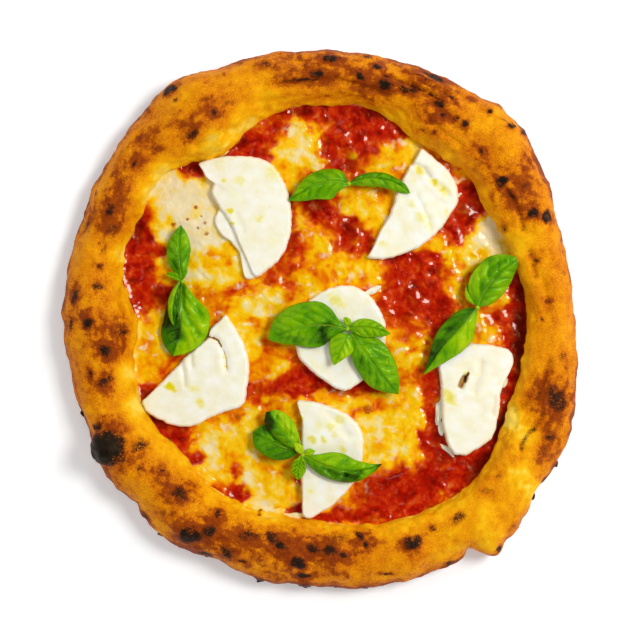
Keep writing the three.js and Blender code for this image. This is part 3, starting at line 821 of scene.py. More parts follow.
@dataclass
class Crust:
    """The baked dough: a thin base with a puffed, blistered and charred rim."""

    points_round: int = 760
    points_across: int = 112
    rings_under: int = 36
    seed: int = 41
    lump: float = 1.7
    # Sizes and heights, in mm, of the lumps of risen dough.
    swells: Table = ((21.0, 1.25), (7.5, 0.5), (2.6, 0.2))
    leopard_mm: float = 11.0
    # A streak is longer than wide, by the rim's radius over this one, in mm.
    streak_radius: float = 52.0

    def section(self, angle: Array, count: int) -> Array:
        """The rim's section at each angle.

        Args:
            angle: angles in radians.
            count: points from the board to the sauce.

        Returns:
            Radius and height, shaped count by angles by 2.
        """
        outer, inner = around(RIM_OUTER, angle), around(RIM_INNER, angle)
        height = around(RIM_HEIGHT, angle)
        ring = outer - inner
        # The rim stands steeper over the sauce on the right, where it puffed up more.
        steep = ease(np.cos(angle + math.radians(12.0)), 0.1, 0.8)
        controls = np.array([
            [outer - RIM_MEETS_BOARD, height * 0.0],
            [outer - 5.2, height * 0.1],
            [outer, height * 0.42],
            [outer - ring * 0.1, height * 0.74],
            [outer - ring * 0.34, height * 0.97],
            [outer - ring * 0.58, height * 0.97],
            [outer - ring * (0.82 + 0.08 * steep), height * (0.74 + 0.1 * steep)],
            [inner + ring * (0.04 - 0.05 * steep), height * (0.4 + 0.1 * steep)],
            [inner, np.full_like(inner, BASE_THICKNESS)],
        ]).transpose(0, 2, 1)
        padded = np.concatenate([controls[:1], controls, controls[-1:]])
        t = np.linspace(0.0, len(controls) - 1, count)
        first = np.minimum(t.astype(int), len(controls) - 2)
        return cubic([padded[first + step] for step in range(4)], (t - first)[:, None, None])

    def dough(self, angle: Array, along: Array) -> Array:
        """Soft irregular swelling of risen dough, as in the measured model.

        Args:
            angle: angles in radians.
            along: place along the section, from 0 at the board to 1 at the sauce.

        Returns:
            Swelling from about -1 to 1.
        """
        broad = np.sin(5 * angle + 1.3 + 4.1 * along) * np.cos(2.6 * along + 0.4)
        middle = np.sin(11 * angle - 5.2 * along + 0.6) * 0.55
        fine = np.sin(19 * angle + 7.9 * along + 2.2) * 0.35
        return (broad + middle + fine) / 1.9

    def feature(self, angle: Array, radius: Array, across: Array, ring: Array) -> Array:
        """Push of the bubbles and creases of the measured model.

        Args:
            angle: angles in radians.
            radius: distance from the middle of the pizza.
            across: place across the rim, 0 at the sauce and 1 at the outline.
            ring: width of the rim.

        Returns:
            Push out of the surface in mm.
        """
        push = np.zeros_like(angle)
        for deg, place, reach, height in BUBBLES:
            side = turn_to(math.radians(deg), angle) * radius
            distance = np.hypot(side, (across - place) * ring) / reach
            push += height * fall(distance, 0.0, 1.0)
        for start, stop, near, far, width, depth in CREASES:
            share = turn_to(math.radians(start), angle) / math.radians(stop - start)
            line = near + (far - near) * share
            distance = np.abs(across - line) * ring / width
            ends = ease(share, -0.1, 0.15) * fall(share, 0.85, 1.1)
            push -= depth * ends * np.exp(-distance * distance)
        return push

    def notch(self, angle: Array, across: Array, share: Array) -> Array:
        """The torn bay in the rim's outline at the lower right, and small nicks and lips.

        Args:
            angle: angles in radians.
            across: place across the rim, 0 at the sauce and 1 at the outline.
            share: place along the section, from 0 at the board to 1 at the sauce.

        Returns:
            Push out of the surface in mm.
        """
        edge = ease(across, 0.78, 1.0) * fall(share, 0.5, 0.62)
        push = np.zeros_like(angle)
        for middle, change, spread in EDGE:
            aside = turn_to(math.radians(middle), angle) / math.radians(spread)
            push += change * np.exp(-aside ** 2)
        return push * edge

    def build(self) -> Surface:
        """Make the rim, underside and base as one closed surface.

        Returns:
            The surface with its toast, char and stain masks.
        """
        count = self.points_across
        round_angle = np.arange(self.points_round) * FULL_TURN / self.points_round
        section = self.section(round_angle, count)
        angle = np.broadcast_to(round_angle, (count, self.points_round))
        share = np.broadcast_to(np.linspace(0, 1, count)[:, None], angle.shape)
        radius, height = section[..., 0], section[..., 1]
        rows = np.stack([np.cos(angle) * radius, np.sin(angle) * radius, height], axis=-1)
        normal = grid_normals(rows)
        inner = np.broadcast_to(around(RIM_INNER, round_angle), angle.shape)
        ring = np.broadcast_to(around(RIM_OUTER, round_angle), angle.shape) - inner
        across = (radius - inner) / ring
        free = ease(share, 0.05, 0.22) * (1.0 - 0.55 * ease(share, 0.84, 0.98))
        points = rows.reshape(-1, 3)
        grain = Grain(self.seed)
        swell = sum(grain.layers(points, size, 2) * high for size, high in self.swells)
        wrinkles = 0.5 - np.abs(grain.at(points, 5.5))
        swell += wrinkles * 0.42
        # The foot of the rim's inner side runs in and out where the sauce dried against it.
        foot = ease(share, 0.68, 0.86).ravel()
        swell += foot * grain.layers(points + 400.0, 9.0, 2) * 1.9
        push = self.dough(angle, share) * self.lump + self.feature(angle, radius, across, ring)
        push = push + swell.reshape(angle.shape) + self.notch(angle, across, share)
        rows = rows + normal * (push * free)[..., None]
        rows[..., 2] = np.maximum(rows[..., 2], 0.0)
        rows, masks = self.weather(rows, normal, free, share, grain)
        return self.close(rows, masks, grain)

    def weather(self, rows: Array, normal: Array, free: Array, share: Array,
                grain: Grain) -> tuple[Array, dict[str, Array]]:
        """Raise blisters, cut slits and work out where the skin is toasted and charred.

        Args:
            rows: the rim's points.
            normal: the way out of the surface at each point.
            free: how far each point may move.
            share: place of each point along the section.
            grain: the crust's own noise.

        Returns:
            The moved points and the toast, char and stain masks.
        """
        points, along = rows.reshape(-1, 3), share.ravel()
        upper = (along > 0.2) & (along < 0.97)
        ragged = grain.layers(points, 3.2, 3)
        char, halo, rise = self.scorch(points, upper, ragged, grain)
        slit, shade = self.tear(points, upper, grain)
        patchy = grain.layers(points + 17.0, self.leopard_mm, 3)
        spots = ease(patchy, 0.24, 0.66) * 0.8 * fall(along, 0.1, 0.26)
        level = self.toast(points, along, ragged, grain)
        low = fall(along, 0.22, 0.4)
        level += low * np.clip(0.38 + 0.26 * patchy, 0.1, 0.6) + 0.26 * halo
        # Streaks that run along the rim, where the skin slid past the flame.
        swept = np.column_stack([np.arctan2(points[:, 1], points[:, 0]) * self.streak_radius,
                                 np.hypot(points[:, 0], points[:, 1]), points[:, 2]])
        level += grain.layers(swept, 4.6, 3) * 0.17 * ease(level, 0.3, 0.62)
        dots = ease(grain.at(points + 140.0, 4.2), 0.42, 0.75) * ease(level, 0.25, 0.6)
        stain = ease(along, 0.9, 0.99) * 0.75
        stain *= np.clip(0.55 + grain.layers(points + 70.0, 5.0, 2), 0.0, 1.0)
        push = (rise + dots * 0.3 - slit).reshape(share.shape)
        # The tears' painted shade joins the burnt spots in the char mask, so the slits get the
        # burnt colours.
        masks = {"toast": level + dots * 0.18,
                 "char": np.maximum(np.maximum(char, shade), spots), "stain": stain}
        return rows + normal * (push * free)[..., None], masks

    def scorch(self, points: Array, upper: Array, ragged: Array,
               grain: Grain) -> tuple[Array, Array, Array]:
        """Burn the marks into the skin.

        Args:
            points: the rim's points.
            upper: whether each point is on the upper side.
            ragged: noise that makes the borders irregular.
            grain: the crust's own noise.

        Returns:
            How burnt each point is, how near to a burnt one, and how far it is raised in mm.
        """
        char, halo, rise = np.zeros((3, len(points)))
        crackle = grain.layers(points + 260.0, 2.6, 2)
        bent = points.copy()
        bent[:, 0] += grain.layers(points + 300.0, 6.5, 2) * 1.7
        bent[:, 1] += grain.layers(points + 340.0, 6.5, 2) * 1.7
        for mark in SCORCHES:
            plan = np.hypot(points[:, 0] - mark.x, points[:, 1] - mark.y)
            home = points[np.argmin(np.where(upper, plan - points[:, 2] * 0.02, 1e9))]
            # The great blister keeps its outline; the other marks bend with the noise.
            place = points if mark.rise > 2.0 else bent
            offset = place - np.array([mark.x, mark.y, home[2]])
            along, side = turned(offset[:, 0], offset[:, 1], mark.turn)
            drop = offset[:, 2] / (mark.long + mark.wide)
            distance = np.sqrt((along / mark.long) ** 2 + (side / mark.wide) ** 2 + drop ** 2)
            distance += ragged * 0.62 / math.sqrt(mark.long * mark.wide)
            char = np.maximum(char, mark.burn * fall(distance, 0.1, 1.45))
            reach = distance + ragged * 0.5
            halo = np.maximum(halo, min(mark.burn, 0.8) * fall(reach, 0.6, 2.3))
            crackled = mark.rise * (1.0 + 0.14 * crackle)
            rise += crackled * np.sqrt(np.clip(1.0 - (distance / 1.1) ** 2, 0.0, 1.0))
        return char, halo, rise

    def tear(self, points: Array, upper: Array, grain: Grain) -> tuple[Array, Array]:
        """Cut the tears into the skin, each between two low brims.

        Args:
            points: the rim's points.
            upper: whether each point is on the upper side.
            grain: the crust's own noise.

        Returns:
            Depth of the cuts in mm, and the painted shade in them.
        """
        slit, shade = np.zeros((2, len(points)))
        wander = grain.layers(points + 210.0, 6.0, 2)[:, None] * np.array([0.9, -0.7])
        for tear in TEARS:
            gap = along_line(points[:, :2] + wander, tear.line)
            groove = np.where(upper, np.exp(-(gap / tear.width) ** 2), 0.0)
            brim = np.exp(-((gap - 2.4 * tear.width) / (1.3 * tear.width)) ** 2)
            slit += groove * tear.depth - np.where(upper, brim, 0.0) * tear.depth * 0.3
            shade = np.maximum(shade, groove * tear.shade)
        return slit, shade

    def toast(self, points: Array, along: Array, ragged: Array, grain: Grain) -> Array:
        """How brown the oven made the skin, apart from its spots and streaks.

        Args:
            points: the rim's points.
            along: place of each point along the section.
            ragged: noise that makes the borders irregular.
            grain: the crust's own noise.

        Returns:
            Toast of each point, from 0 for pale to 1 for dark brown.
        """
        level = 0.325 + 0.08 * np.sin(np.clip(along, 0, 1) * math.pi * 1.15)
        level -= 0.12 * ease(along, 0.66, 0.9)
        for x, y, reach, change in TOASTED:
            distance = np.hypot(points[:, 0] - x, points[:, 1] - y) / reach
            level += change * fall(distance + ragged * 0.25, 0.1, 1.25)
        level += grain.layers(points + 90.0, 24.0, 2) * 0.08
        level += grain.layers(points + 50.0, 6.0, 3) * 0.1
        return level

    def close(self, rows: Array, masks: dict[str, Array], grain: Grain) -> Surface:
        """Add the underside and the base, and close the surface.

        Args:
            rows: the rim's points.
            masks: the rim's masks.
            grain: the crust's own noise.

        Returns:
            The closed surface.
        """
        foot, lip = rows[0], rows[-1]
        steps = np.linspace(0.03, 0.975, self.rings_under)
        under = foot[None] * steps[:, None, None]
        spots = grain.layers(under.reshape(-1, 3), 12.0, 3).reshape(under.shape[:2])
        under[..., 2] = np.clip(spots, 0.0, 1.0) * 0.35 * (1.0 - steps[:, None] ** 6)
        base = lip[None] * np.array([0.97, 0.5])[:, None, None]
        base[..., 2] = BASE_THICKNESS
        surface = Surface.from_rings(np.concatenate([under, rows, base]), np.zeros(3),
                                     np.array([0.0, 0.0, BASE_THICKNESS]))
        points = under.reshape(-1, 3)
        leopard = grain.layers(points + 17.0, self.leopard_mm, 3)
        burn = ease(leopard, 0.24, 0.66) * 0.8
        brown = 0.46 + 0.25 * grain.layers(points + 5.0, 22.0, 2)
        brown += 0.3 * ease(leopard, -0.1, 0.3)
        fill = {"toast": (brown, 0.3), "char": (burn, 0.0), "stain": (np.zeros_like(burn), 0.0)}
        for name, (below, within) in fill.items():
            surface.masks[name] = np.concatenate([
                below, masks[name], np.full(base.shape[0] * base.shape[1], within),
                [below[0]], [within]])
        return surface


@dataclass
class Topping:
    """The spread sauce and what melted into it, as fields of height and colour."""

    seed: int = 7
    # x, y, half sizes, turn, how far melted (0 red sauce, 1 cream), weight.
    patches: Table = (
        (-74, 60, 17, 19, 15, 0.97, 3), (-83, 75, 8, 8, 0, 0.95, 2),
        (-62, 48, 10, 7, 20, 0.93, 2), (-77, 44, 8, 6, 0, 0.95, 1.8),
        (-72, 87, 9, 5, 0, 0.03, 3), (-77, 81, 6, 3, 20, 0.2, 1.5),
        (-56, 38, 14, 6, 15, 0.64, 2.5), (-60, 32, 8, 3, 25, 0.86, 1.2),
        (-67, 26, 7, 4, 10, 0.86, 2), (-50, 26, 8, 9, 0, 0.7, 2),
        (-87, 55, 5, 4, 0, 0.45, 1.5), (-88, 27, 6, 6, 0, 0.8, 1.5),
        (-103, 46, 7, 13, -10, 0.03, 3), (-96, 38, 8, 5, 10, 0.1, 2),
        (-106, 29, 5, 9, 0, 0.06, 2), (-98, 22, 9, 10, 0, 0.26, 2.2),
        (-90, 15, 7, 7, 0, 0.12, 2), (-101, 9, 6, 8, 0, 0.08, 2),
        (-92, 5, 6, 6, 0, 0.62, 1.5), (-98, -6, 6, 6, 0, 0.48, 1.5),
        (-98, -20, 8, 16, 0, 0.68, 2.5), (-92, -30, 7, 9, 30, 0.52, 1.5),
        (-101, -43, 5, 4, 0, 0.06, 2), (-88, -12, 5, 8, 0, 0.7, 1.2),
        (-46, 99, 10, 6, 15, 0.1, 2.5), (-33, 97, 6, 7, 0, 0.14, 2),
        (-28, 109, 9, 7, 40, 0.24, 2), (-18, 112, 7, 5, 0, 0.34, 1.5),
        (-12, 119, 12, 4, 0, 0.06, 2.5), (-15, 96, 9, 6, 0, 0.93, 2.8),
        (-13, 108, 4, 7, -15, 0.86, 2), (-22, 98, 5, 9, 0, 0.68, 1.8),
        (-22, 85, 7, 8, 0, 0.6, 2), (-5, 92, 6, 6, 0, 0.66, 1.5),
        (3, 112, 8, 5, 0, 0.44, 1.6), (10, 116, 16, 5, 0, 0.06, 2),
        (25, 108, 14, 9, 0, 0.1, 3), (42, 112, 14, 7, -15, 0.03, 3),
        (36, 104, 8, 5, 0, 0.22, 1.5), (8, 98, 7, 7, 0, 0.14, 2),
        (14, 90, 5, 8, 0, 0.16, 1.5), (24, 92, 5, 6, 0, 0.4, 1.5),
        (42, 93, 12, 9, 10, 0.6, 2.5), (50, 101, 6, 4, 0, 0.74, 1.6),
        (43, 84, 7, 6, 0, 0.6, 1.5), (23, 68, 9, 8, 30, 0.64, 2.2),
        (31, 58, 5, 8, -20, 0.66, 1.5), (18, 63, 6, 4, 20, 0.8, 1.2),
        (8, 66, 6, 5, 0, 0.34, 1.5), (-3, 62, 8, 5, 0, 0.08, 2.2),
        (-12, 60, 5, 5, 0, 0.46, 1.5), (15, 48, 7, 9, 20, 0.1, 2.5),
        (25, 42, 5, 7, 0, 0.2, 1.8), (5, 50, 6, 5, 0, 0.5, 1.5),
        (-11, 47, 6, 7, 0, 0.62, 1.8), (-16, 52, 2.5, 12, 5, 0.14, 1.8),
        (-20, 30, 7, 9, 0, 0.32, 1.8), (-9, 32, 6, 8, 0, 0.46, 1.6),
        (8, 32, 14, 7, 0, 0.58, 2.5), (-8, 22, 6, 6, 0, 0.6, 1.8), (28, 29, 9, 7, 0, 0.62, 2),
        (-40, 17, 12, 4, 5, 0.4, 2), (-29, 11, 11, 6, 10, 0.7, 2.4),
        (-36, 4, 5, 4, 0, 0.8, 1.6), (-52, 11, 7, 6, 0, 0.62, 2),
        (-60, 4, 5, 6, 0, 0.56, 1.5), (-47, -2, 7, 8, 0, 0.72, 3),
        (-45, 6, 5, 4, 0, 0.84, 1.2), (-34, -10, 6, 8, 0, 0.6, 2),
        (-26, -24, 10, 8, 0, 0.6, 2.4), (-15, -24, 4, 8, 0, 0.3, 1.8),
        (-10, -37, 13, 5, 0, 0.08, 3.4), (-34, -42, 6, 5, 0, 0.12, 2.2),
        (-34, -31, 6, 6, 0, 0.58, 2), (-28, -46, 8, 6, 0, 0.52, 1.8),
        (-54, -57, 9, 5, 15, 0.52, 2), (-40, -60, 5, 6, 0, 0.8, 1.5),
        (-82, -66, 10, 6, -15, 0.12, 2.8), (-92, -59, 8, 3, -30, 0.05, 2),
        (-67, -68, 7, 7, 0, 0.78, 2.2), (-56, -72, 8, 7, 0, 0.76, 2.2),
        (-70, -79, 3, 2.6, 0, 0.2, 2.6), (-76, -74, 5, 3, -35, 0.4, 1.5),
        (-60, -88, 5, 10, 38, 0.82, 2), (-47, -88, 4, 4, 0, 0.3, 1.8),
        (-46, -79, 8, 6, 0, 0.72, 2), (-55, -97, 6, 5, -20, 0.28, 2.4),
        (-45, -100, 4, 3.5, 0, 0.1, 2.6), (-38, -92, 6, 7, 0, 0.86, 2.4),
        (-29, -96, 9, 7, 0, 0.76, 2.8), (-19, -87, 6, 7, 0, 0.62, 2),
        (-33, -84, 6, 5, 0, 0.56, 1.5), (-17, -101, 5, 6, 0, 0.78, 1.8),
        (-14, -109, 3, 4, 0, 0.05, 3), (-36, -106, 10, 3, 8, 0.84, 1.5),
        (12, -45, 18, 5, -5, 0.58, 2.2), (27, -38, 8, 4, 20, 0.14, 2.2),
        (27, -52, 7, 4, 10, 0.3, 1.8), (45, -10, 9, 8, 0, 0.56, 2),
        (50, -22, 8, 9, 0, 0.62, 2.2), (41, 4, 6, 8, 0, 0.38, 1.8),
        (53, -34, 8, 5, 0, 0.42, 1.8), (50, -48, 10, 7, 0, 0.68, 2.8),
        (64, -38, 5, 14, 0, 0.3, 2.2), (66, -58, 4, 14, 0, 0.12, 2.6),
        (62, -78, 7, 9, 0, 0.12, 2.6), (42, -69, 10, 11, 0, 0.72, 3),
        (30, -62, 6, 10, 0, 0.92, 2.8), (26, -76, 5, 9, 0, 0.78, 1.8),
        (55, -81, 4, 8, -8, 0.86, 2.2), (36, -88, 9, 4, 0, 0.58, 1.6),
        (27, -95, 7, 6, 0, 0.46, 1.8), (14, -104, 8, 8, 0, 0.6, 2.4),
        (24, -107, 5, 6, 0, 0.4, 1.5), (8, -113, 12, 2.4, 5, 0.12, 2),
        (48, -100, 20, 11, 10, 0.1, 3.6), (78, -88, 14, 8, 35, 0.08, 3),
        (66, -103, 7, 4, 25, 0.36, 1.5), (95, -78, 8, 12, 30, 0.03, 2.6),
        (106, -50, 6, 22, 12, 0.02, 2.6), (114, -10, 5, 30, 0, 0.02, 3),
        (96, -7, 8, 6, 0, 0.58, 2), (106, 1, 6, 7, 0, 0.16, 2),
        (103, 11, 8, 5, 0, 0.6, 2), (96, 17, 5, 6, 0, 0.6, 1.5),
        (58, 20, 15, 17, 0, 0.08, 4), (46, 10, 7, 12, 0, 0.14, 2),
        (70, 4, 7, 6, 0, 0.3, 1.6), (75, 22, 5, 11, 0, 0.72, 2.2),
        (80, 37, 8, 4, 0, 0.66, 2), (63, 41, 8, 4, 20, 0.74, 2.4),
        (72, 52, 4, 8, -25, 0.48, 1.6), (80, 52, 8, 9, -25, 0.1, 2.6),
        (86, 66, 6, 12, -30, 0.06, 2.8), (93, 70, 5, 12, -30, 0.02, 2.6),
        (94, 47, 8, 9, 0, 0.95, 3.6), (88, 36, 6, 5, 0, 0.78, 1.6),
        (56, -3, 7, 6, 0, 0.5, 1.5), (34, 12, 5, 9, 0, 0.44, 1.6),
        (68, -22, 5, 8, 0, 0.34, 1.5), (88, -3, 6, 4, 0, 0.6, 1.2),
    )
    base_melt: float = 0.52
    # Where the cheese browned: x, y and reach.
    browned: Table = (
        (-71, 64, 1.6), (-76, 57, 1.2), (-66, 55, 1.5), (-70, 52, 1.2), (-65, 49, 1.8),
        (-68, 59, 0.9), (-47, -56, 2.4), (27, -52, 4), (-84, 54, 2),
    )
    # Painted shade on the sauce, partly also sauce that is darker where it lies thick: under the
    # rim's inner wall, in the nook at the upper left and along the slices' edges. x, y, half
    # sizes, turn, strength.
    shades: Table = (
        (115, -15, 7, 36, 0, 0.92), (107, -58, 7, 22, -22, 0.9), (93, -84, 7, 14, -48, 0.75),
        (115, 16, 5, 14, 0, 0.7), (94, 72, 6, 15, 30, 0.8), (-72, 88, 10, 6, 0, 0.72),
        (-3, 64, 8, 4, 0, 0.55), (36, 117, 26, 4, -8, 0.6), (-104, 52, 5, 12, -10, 0.62),
        (-92, 14, 6, 7, 0, 0.5), (-12, 119, 12, 3, 0, 0.55), (-100, -43, 6, 4, 0, 0.6),
        (-92, -60, 9, 3, -30, 0.55), (-14, -109, 4, 5, 0, 0.6), (18, 50, 5, 7, 0, 0.4),
        (18, 90, 5, 7, 0, 0.45), (66, -62, 3, 16, 0, 0.5), (72, -80, 10, 4, 20, 0.45),
        (54, 14, 8, 10, 0, 0.3), (-16, 50, 2, 14, 4, 0.4), (84, 62, 5, 8, 30, 0.5),
        (-46, 101, 8, 4, 12, 0.4), (-13, -88, 2, 24, 0, 0.5), (10, -41, 16, 3, -8, 0.4),
    )

    def __post_init__(self) -> None:
        """Seed the noise."""
        self.grain = Grain(self.seed)

    def melt(self, plan: Array) -> Array:
        """How far the cheese covers the sauce at each place.

        Args:
            plan: rows of x, y in mm.

        Returns:
            Cover from 0 to 1.
        """
        points = flat(plan)
        x = plan[:, 0] + self.grain.layers(points, 9.0, 3) * 3.0
        y = plan[:, 1] + self.grain.layers(points + 200.0, 9.0, 3) * 3.0
        total = np.full(len(plan), 0.12)
        value = np.full(len(plan), 0.12 * self.base_melt)
        for cx, cy, half_long, half_wide, turn, level, weight in self.patches:
            along, side = turned(x - cx, y - cy, turn)
            reach = (along / half_long) ** 2 + (side / half_wide) ** 2
            pull = weight * np.exp(-reach ** 1.4 * 0.8)
            total += pull
            value += pull * level
        level = value / total
        level += self.grain.layers(points + 60.0, 4.5, 3) * 0.05
        level += self.grain.layers(points + 160.0, 15.0, 2) * 0.07
        level += 0.05 * ease(level, 0.35, 0.6)
        streaks = np.maximum(self.grain.layers(points + 260.0, 11.0, 3), 0.0)
        level -= 0.18 * streaks * fall(level, 0.6, 0.85)
        return np.clip(level, 0.0, 1.0)

    def height(self, plan: Array, melt: Array) -> Array:
        """Height of the wet surface at each place.

        Args:
            plan: rows of x, y in mm.
            melt: cover of cheese there.

        Returns:
            Heights in mm.
        """
        points = flat(plan)
        cheese = ease(melt, 0.3, 0.75)
        pulp = self.grain.layers(points + 10.0, 10.0, 3) * 0.75
        pulp += (0.45 - np.abs(self.grain.at(points + 33.0, 8.0))) * 0.5
        curd = self.grain.layers(points + 80.0, 10.0, 3) * 0.5
        curd += np.maximum(self.grain.at(points + 120.0, 3.6), 0.0) * 0.35
        return SAUCE_TOP - 0.2 + 0.9 * cheese + (1.0 - cheese) * pulp + cheese * curd

    def masks(self, plan: Array, melt: Array) -> dict[str, Array]:
        """The colour masks at each place.

        Args:
            plan: rows of x, y in mm.
            melt: cover of cheese there.

        Returns:
            The melt, brown and deep masks.
        """
        points = flat(plan)
        brown, deep = np.zeros((2, len(plan)))
        for x, y, reach in self.browned:
            distance = np.hypot(plan[:, 0] - x, plan[:, 1] - y) / reach
            brown = np.maximum(brown, 0.7 * fall(distance, 0.3, 1.3))
        brown += np.maximum(self.grain.layers(points + 150.0, 7.0, 3) - 0.35, 0.0) * 0.5
        ragged = self.grain.layers(points + 110.0, 5.0, 2) * 0.2
        # Painted shade, partly also darker thick sauce, from the table of shades.
        for x, y, half_long, half_wide, turn, strength in self.shades:
            along, side = turned(plan[:, 0] - x, plan[:, 1] - y, turn)
            distance = np.hypot(along / half_long, side / half_wide) + ragged
            deep = np.maximum(deep, strength * fall(distance, 0.3, 1.2))
        return {"melt": melt, "brown": brown, "deep": deep}


@dataclass
class Sauce:
    """The whole wet surface inside the rim, as one closed layer."""

    topping: Topping
    steps: int = 290
    # How far, in mm, it runs in under the rim, climbs it, and gives way under a pool.
    tuck: float = 2.4
    climb: float = 1.5
    bed: float = 0.7
    underside: float = BASE_THICKNESS + 0.05

    def build(self, covers: list[Array]) -> Surface:
        """Make the layer.

        Args:
            covers: outlines of the melted pools, which lie on it as pieces of their own.

        Returns:
            The closed layer with its masks.
        """
        side = np.linspace(-1.0, 1.0, self.steps)
        a, b = np.meshgrid(side, side)
        wide = np.abs(a) > np.abs(b)
        big = np.where(wide, a, b)
        small = np.where(wide, b, a)
        with np.errstate(divide="ignore", invalid="ignore"):
            bend = np.where(big == 0, 0.0, small / big) * math.pi / 4.0
        angle = np.where(wide, bend, math.pi / 2.0 - bend)
        radius = np.abs(big)
        angle = np.where(big < 0, angle + math.pi, angle)
        edge = around(RIM_INNER, angle)
        reach = radius * (edge + self.tuck)
        plan = np.stack([np.cos(angle) * reach, np.sin(angle) * reach], axis=-1).reshape(-1, 2)
        melt = self.topping.melt(plan)
        inset = ((1.0 - radius) * edge).ravel()
        height = self.topping.height(plan, melt) + np.exp(-inset / 2.2) * self.climb
        for outline in covers:
            height = height - self.bed * ease(inside(plan, outline), 0.6, 4.0)
        return self.close(np.column_stack([plan, height]), self.topping.masks(plan, melt))

    def close(self, top: Array, masks: dict[str, Array]) -> Surface:
        """Add the side and the underside of the layer.

        Args:
            top: the points of its top, row by row of the grid.
            masks: the masks there.

        Returns:
            The closed layer with its masks.
        """
        cells = np.arange(self.steps ** 2).reshape(self.steps, self.steps)
        loop = np.concatenate([cells[0, :-1], cells[:-1, -1], cells[-1, :0:-1],
                               cells[:0:-1, 0]])
        below = top[loop].copy()
        below[:, 2] = self.underside
        start = self.steps ** 2
        here = np.arange(len(loop))
        there = (here + 1) % len(loop)
        walls = np.column_stack([loop[there], loop[here], start + here, start + there])
        centre = start + len(loop)
        fan = np.column_stack([np.full(len(loop), centre), start + there, start + here])
        corners = np.concatenate([top, below, [[0.0, 0.0, self.underside]]])
        surface = Surface(corners, np.concatenate([grid_quads(cells), walls]), fan)
        for name, values in masks.items():
            surface.masks[name] = np.concatenate([values, values[loop], [values[0]]])
        return surface


def inside(plan: Array, outline: Array, reach: float = 6.0) -> Array:
    """How far inside a closed outline each place is; negative outside.

    Args:
        plan: rows of x, y in mm.
        outline: rows of x, y round the outline.
        reach: how far outside the distance is still worked out.

    Returns:
        Signed distances in mm.
    """
    low, high = outline.min(axis=0) - reach, outline.max(axis=0) + reach
    near = np.all((plan > low) & (plan < high), axis=1)
    result = np.full(len(plan), -reach)
    spots = plan[near]
    ring = [tuple(p) for p in outline] + [tuple(outline[0])]
    distance = along_line(spots, ring)
    crossings = np.zeros(len(spots), dtype=int)
    for (x0, y0), (x1, y1) in zip(ring[:-1], ring[1:]):
        spans = (spots[:, 1] < y0) != (spots[:, 1] < y1)
        cut = x0 + (spots[:, 1] - y0) * (x1 - x0) / ((y1 - y0) if y1 != y0 else 1e-9)
        crossings += spans & (spots[:, 0] < cut)
    result[near] = np.where(crossings % 2 == 1, distance, -distance)
    return result


@dataclass
class Pool:
    """One pool of cheese that melted into the sauce, a thin lens on it."""

    name: str
    middle: tuple[float, float]
    outline: Outline
    points_round: int = 150
    rings: int = 34
    lift: float = 0.06
    # The rings that the underside follows, and how far under them it lies.
    under: tuple[tuple[int, float], ...] = ((6, 1.0), (3, 0.8))

    def loop(self) -> Array:
        """The outline as an anticlockwise smooth ring of points."""
        return spline(anticlockwise(self.outline), self.points_round, closed=True, tension=0.4)

    def build(self, topping: Topping) -> Surface:
        """Make the lens on the sauce's surface.

        Args:
            topping: the fields of height and colour that it follows.

        Returns:
            The closed lens with its masks.
        """
        loop = self.loop()
        middle = np.array(self.middle)
        share = np.linspace(1.0, 0.0, self.rings + 1)[:-1]
        grid = middle + (loop[None] - middle) * share[:, None, None]
        plan = grid.reshape(-1, 2)
        melt = topping.melt(plan)
        sunk = 0.3 * fall(inside(plan, loop), 0.0, 2.4)
        top = topping.height(plan, melt) + self.lift - sunk
        rows = np.column_stack([plan, top]).reshape(*grid.shape[:2], 3)
        under = np.array([rows[ring] - [0.0, 0.0, down] for ring, down in self.under])
        centre_melt = topping.melt(middle[None])
        centre = topping.height(middle[None], centre_melt)[0]
        surface = Surface.from_rings(
            np.concatenate([under, rows]), np.array([*middle, centre - self.under[0][1]]),
            np.array([*middle, centre + self.lift]))
        centre_masks = topping.masks(middle[None], centre_melt)
        for name, values in topping.masks(plan, melt).items():
            below = [values.reshape(grid.shape[:2])[ring] for ring, _ in self.under]
            surface.masks[name] = np.concatenate([
                *below, values, centre_masks[name], centre_masks[name]])
        return surface


POOLS = (
    Pool("melted_cheese_upper_left", (-76, 54), (
        (-79, 87), (-69, 79), (-62, 68), (-54, 55), (-45, 39), (-40, 24), (-52, 16),
        (-66, 22), (-78, 34), (-91, 46), (-96, 60), (-90, 74))),
    Pool("melted_cheese_top", (-15, 102), (
        (-4, 108), (-4, 99), (-13, 92), (-24, 94), (-30, 102), (-22, 111), (-10, 116))),
    Pool("melted_cheese_middle_left", (-36, 6), (
        (-19, 12), (-22, 1), (-32, -10), (-42, -4), (-53, 4), (-54, 11), (-40, 16),
        (-27, 17))),
    Pool("melted_cheese_right", (84, 40), (
        (97, 54), (100, 46), (94, 36), (88, 24), (78, 19), (73, 28), (75, 42), (84, 54))),
    Pool("melted_cheese_lower_left", (-50, -80), (
        (-22, -66), (-20, -84), (-22, -101), (-36, -103), (-54, -99), (-68, -86),
        (-76, -72), (-64, -66), (-48, -62), (-34, -64))),
    Pool("melted_cheese_lower_right", (42, -74), (
        (58, -60), (59, -74), (52, -88), (38, -93), (28, -84), (30, -70), (32, -58),
        (46, -54))),
)


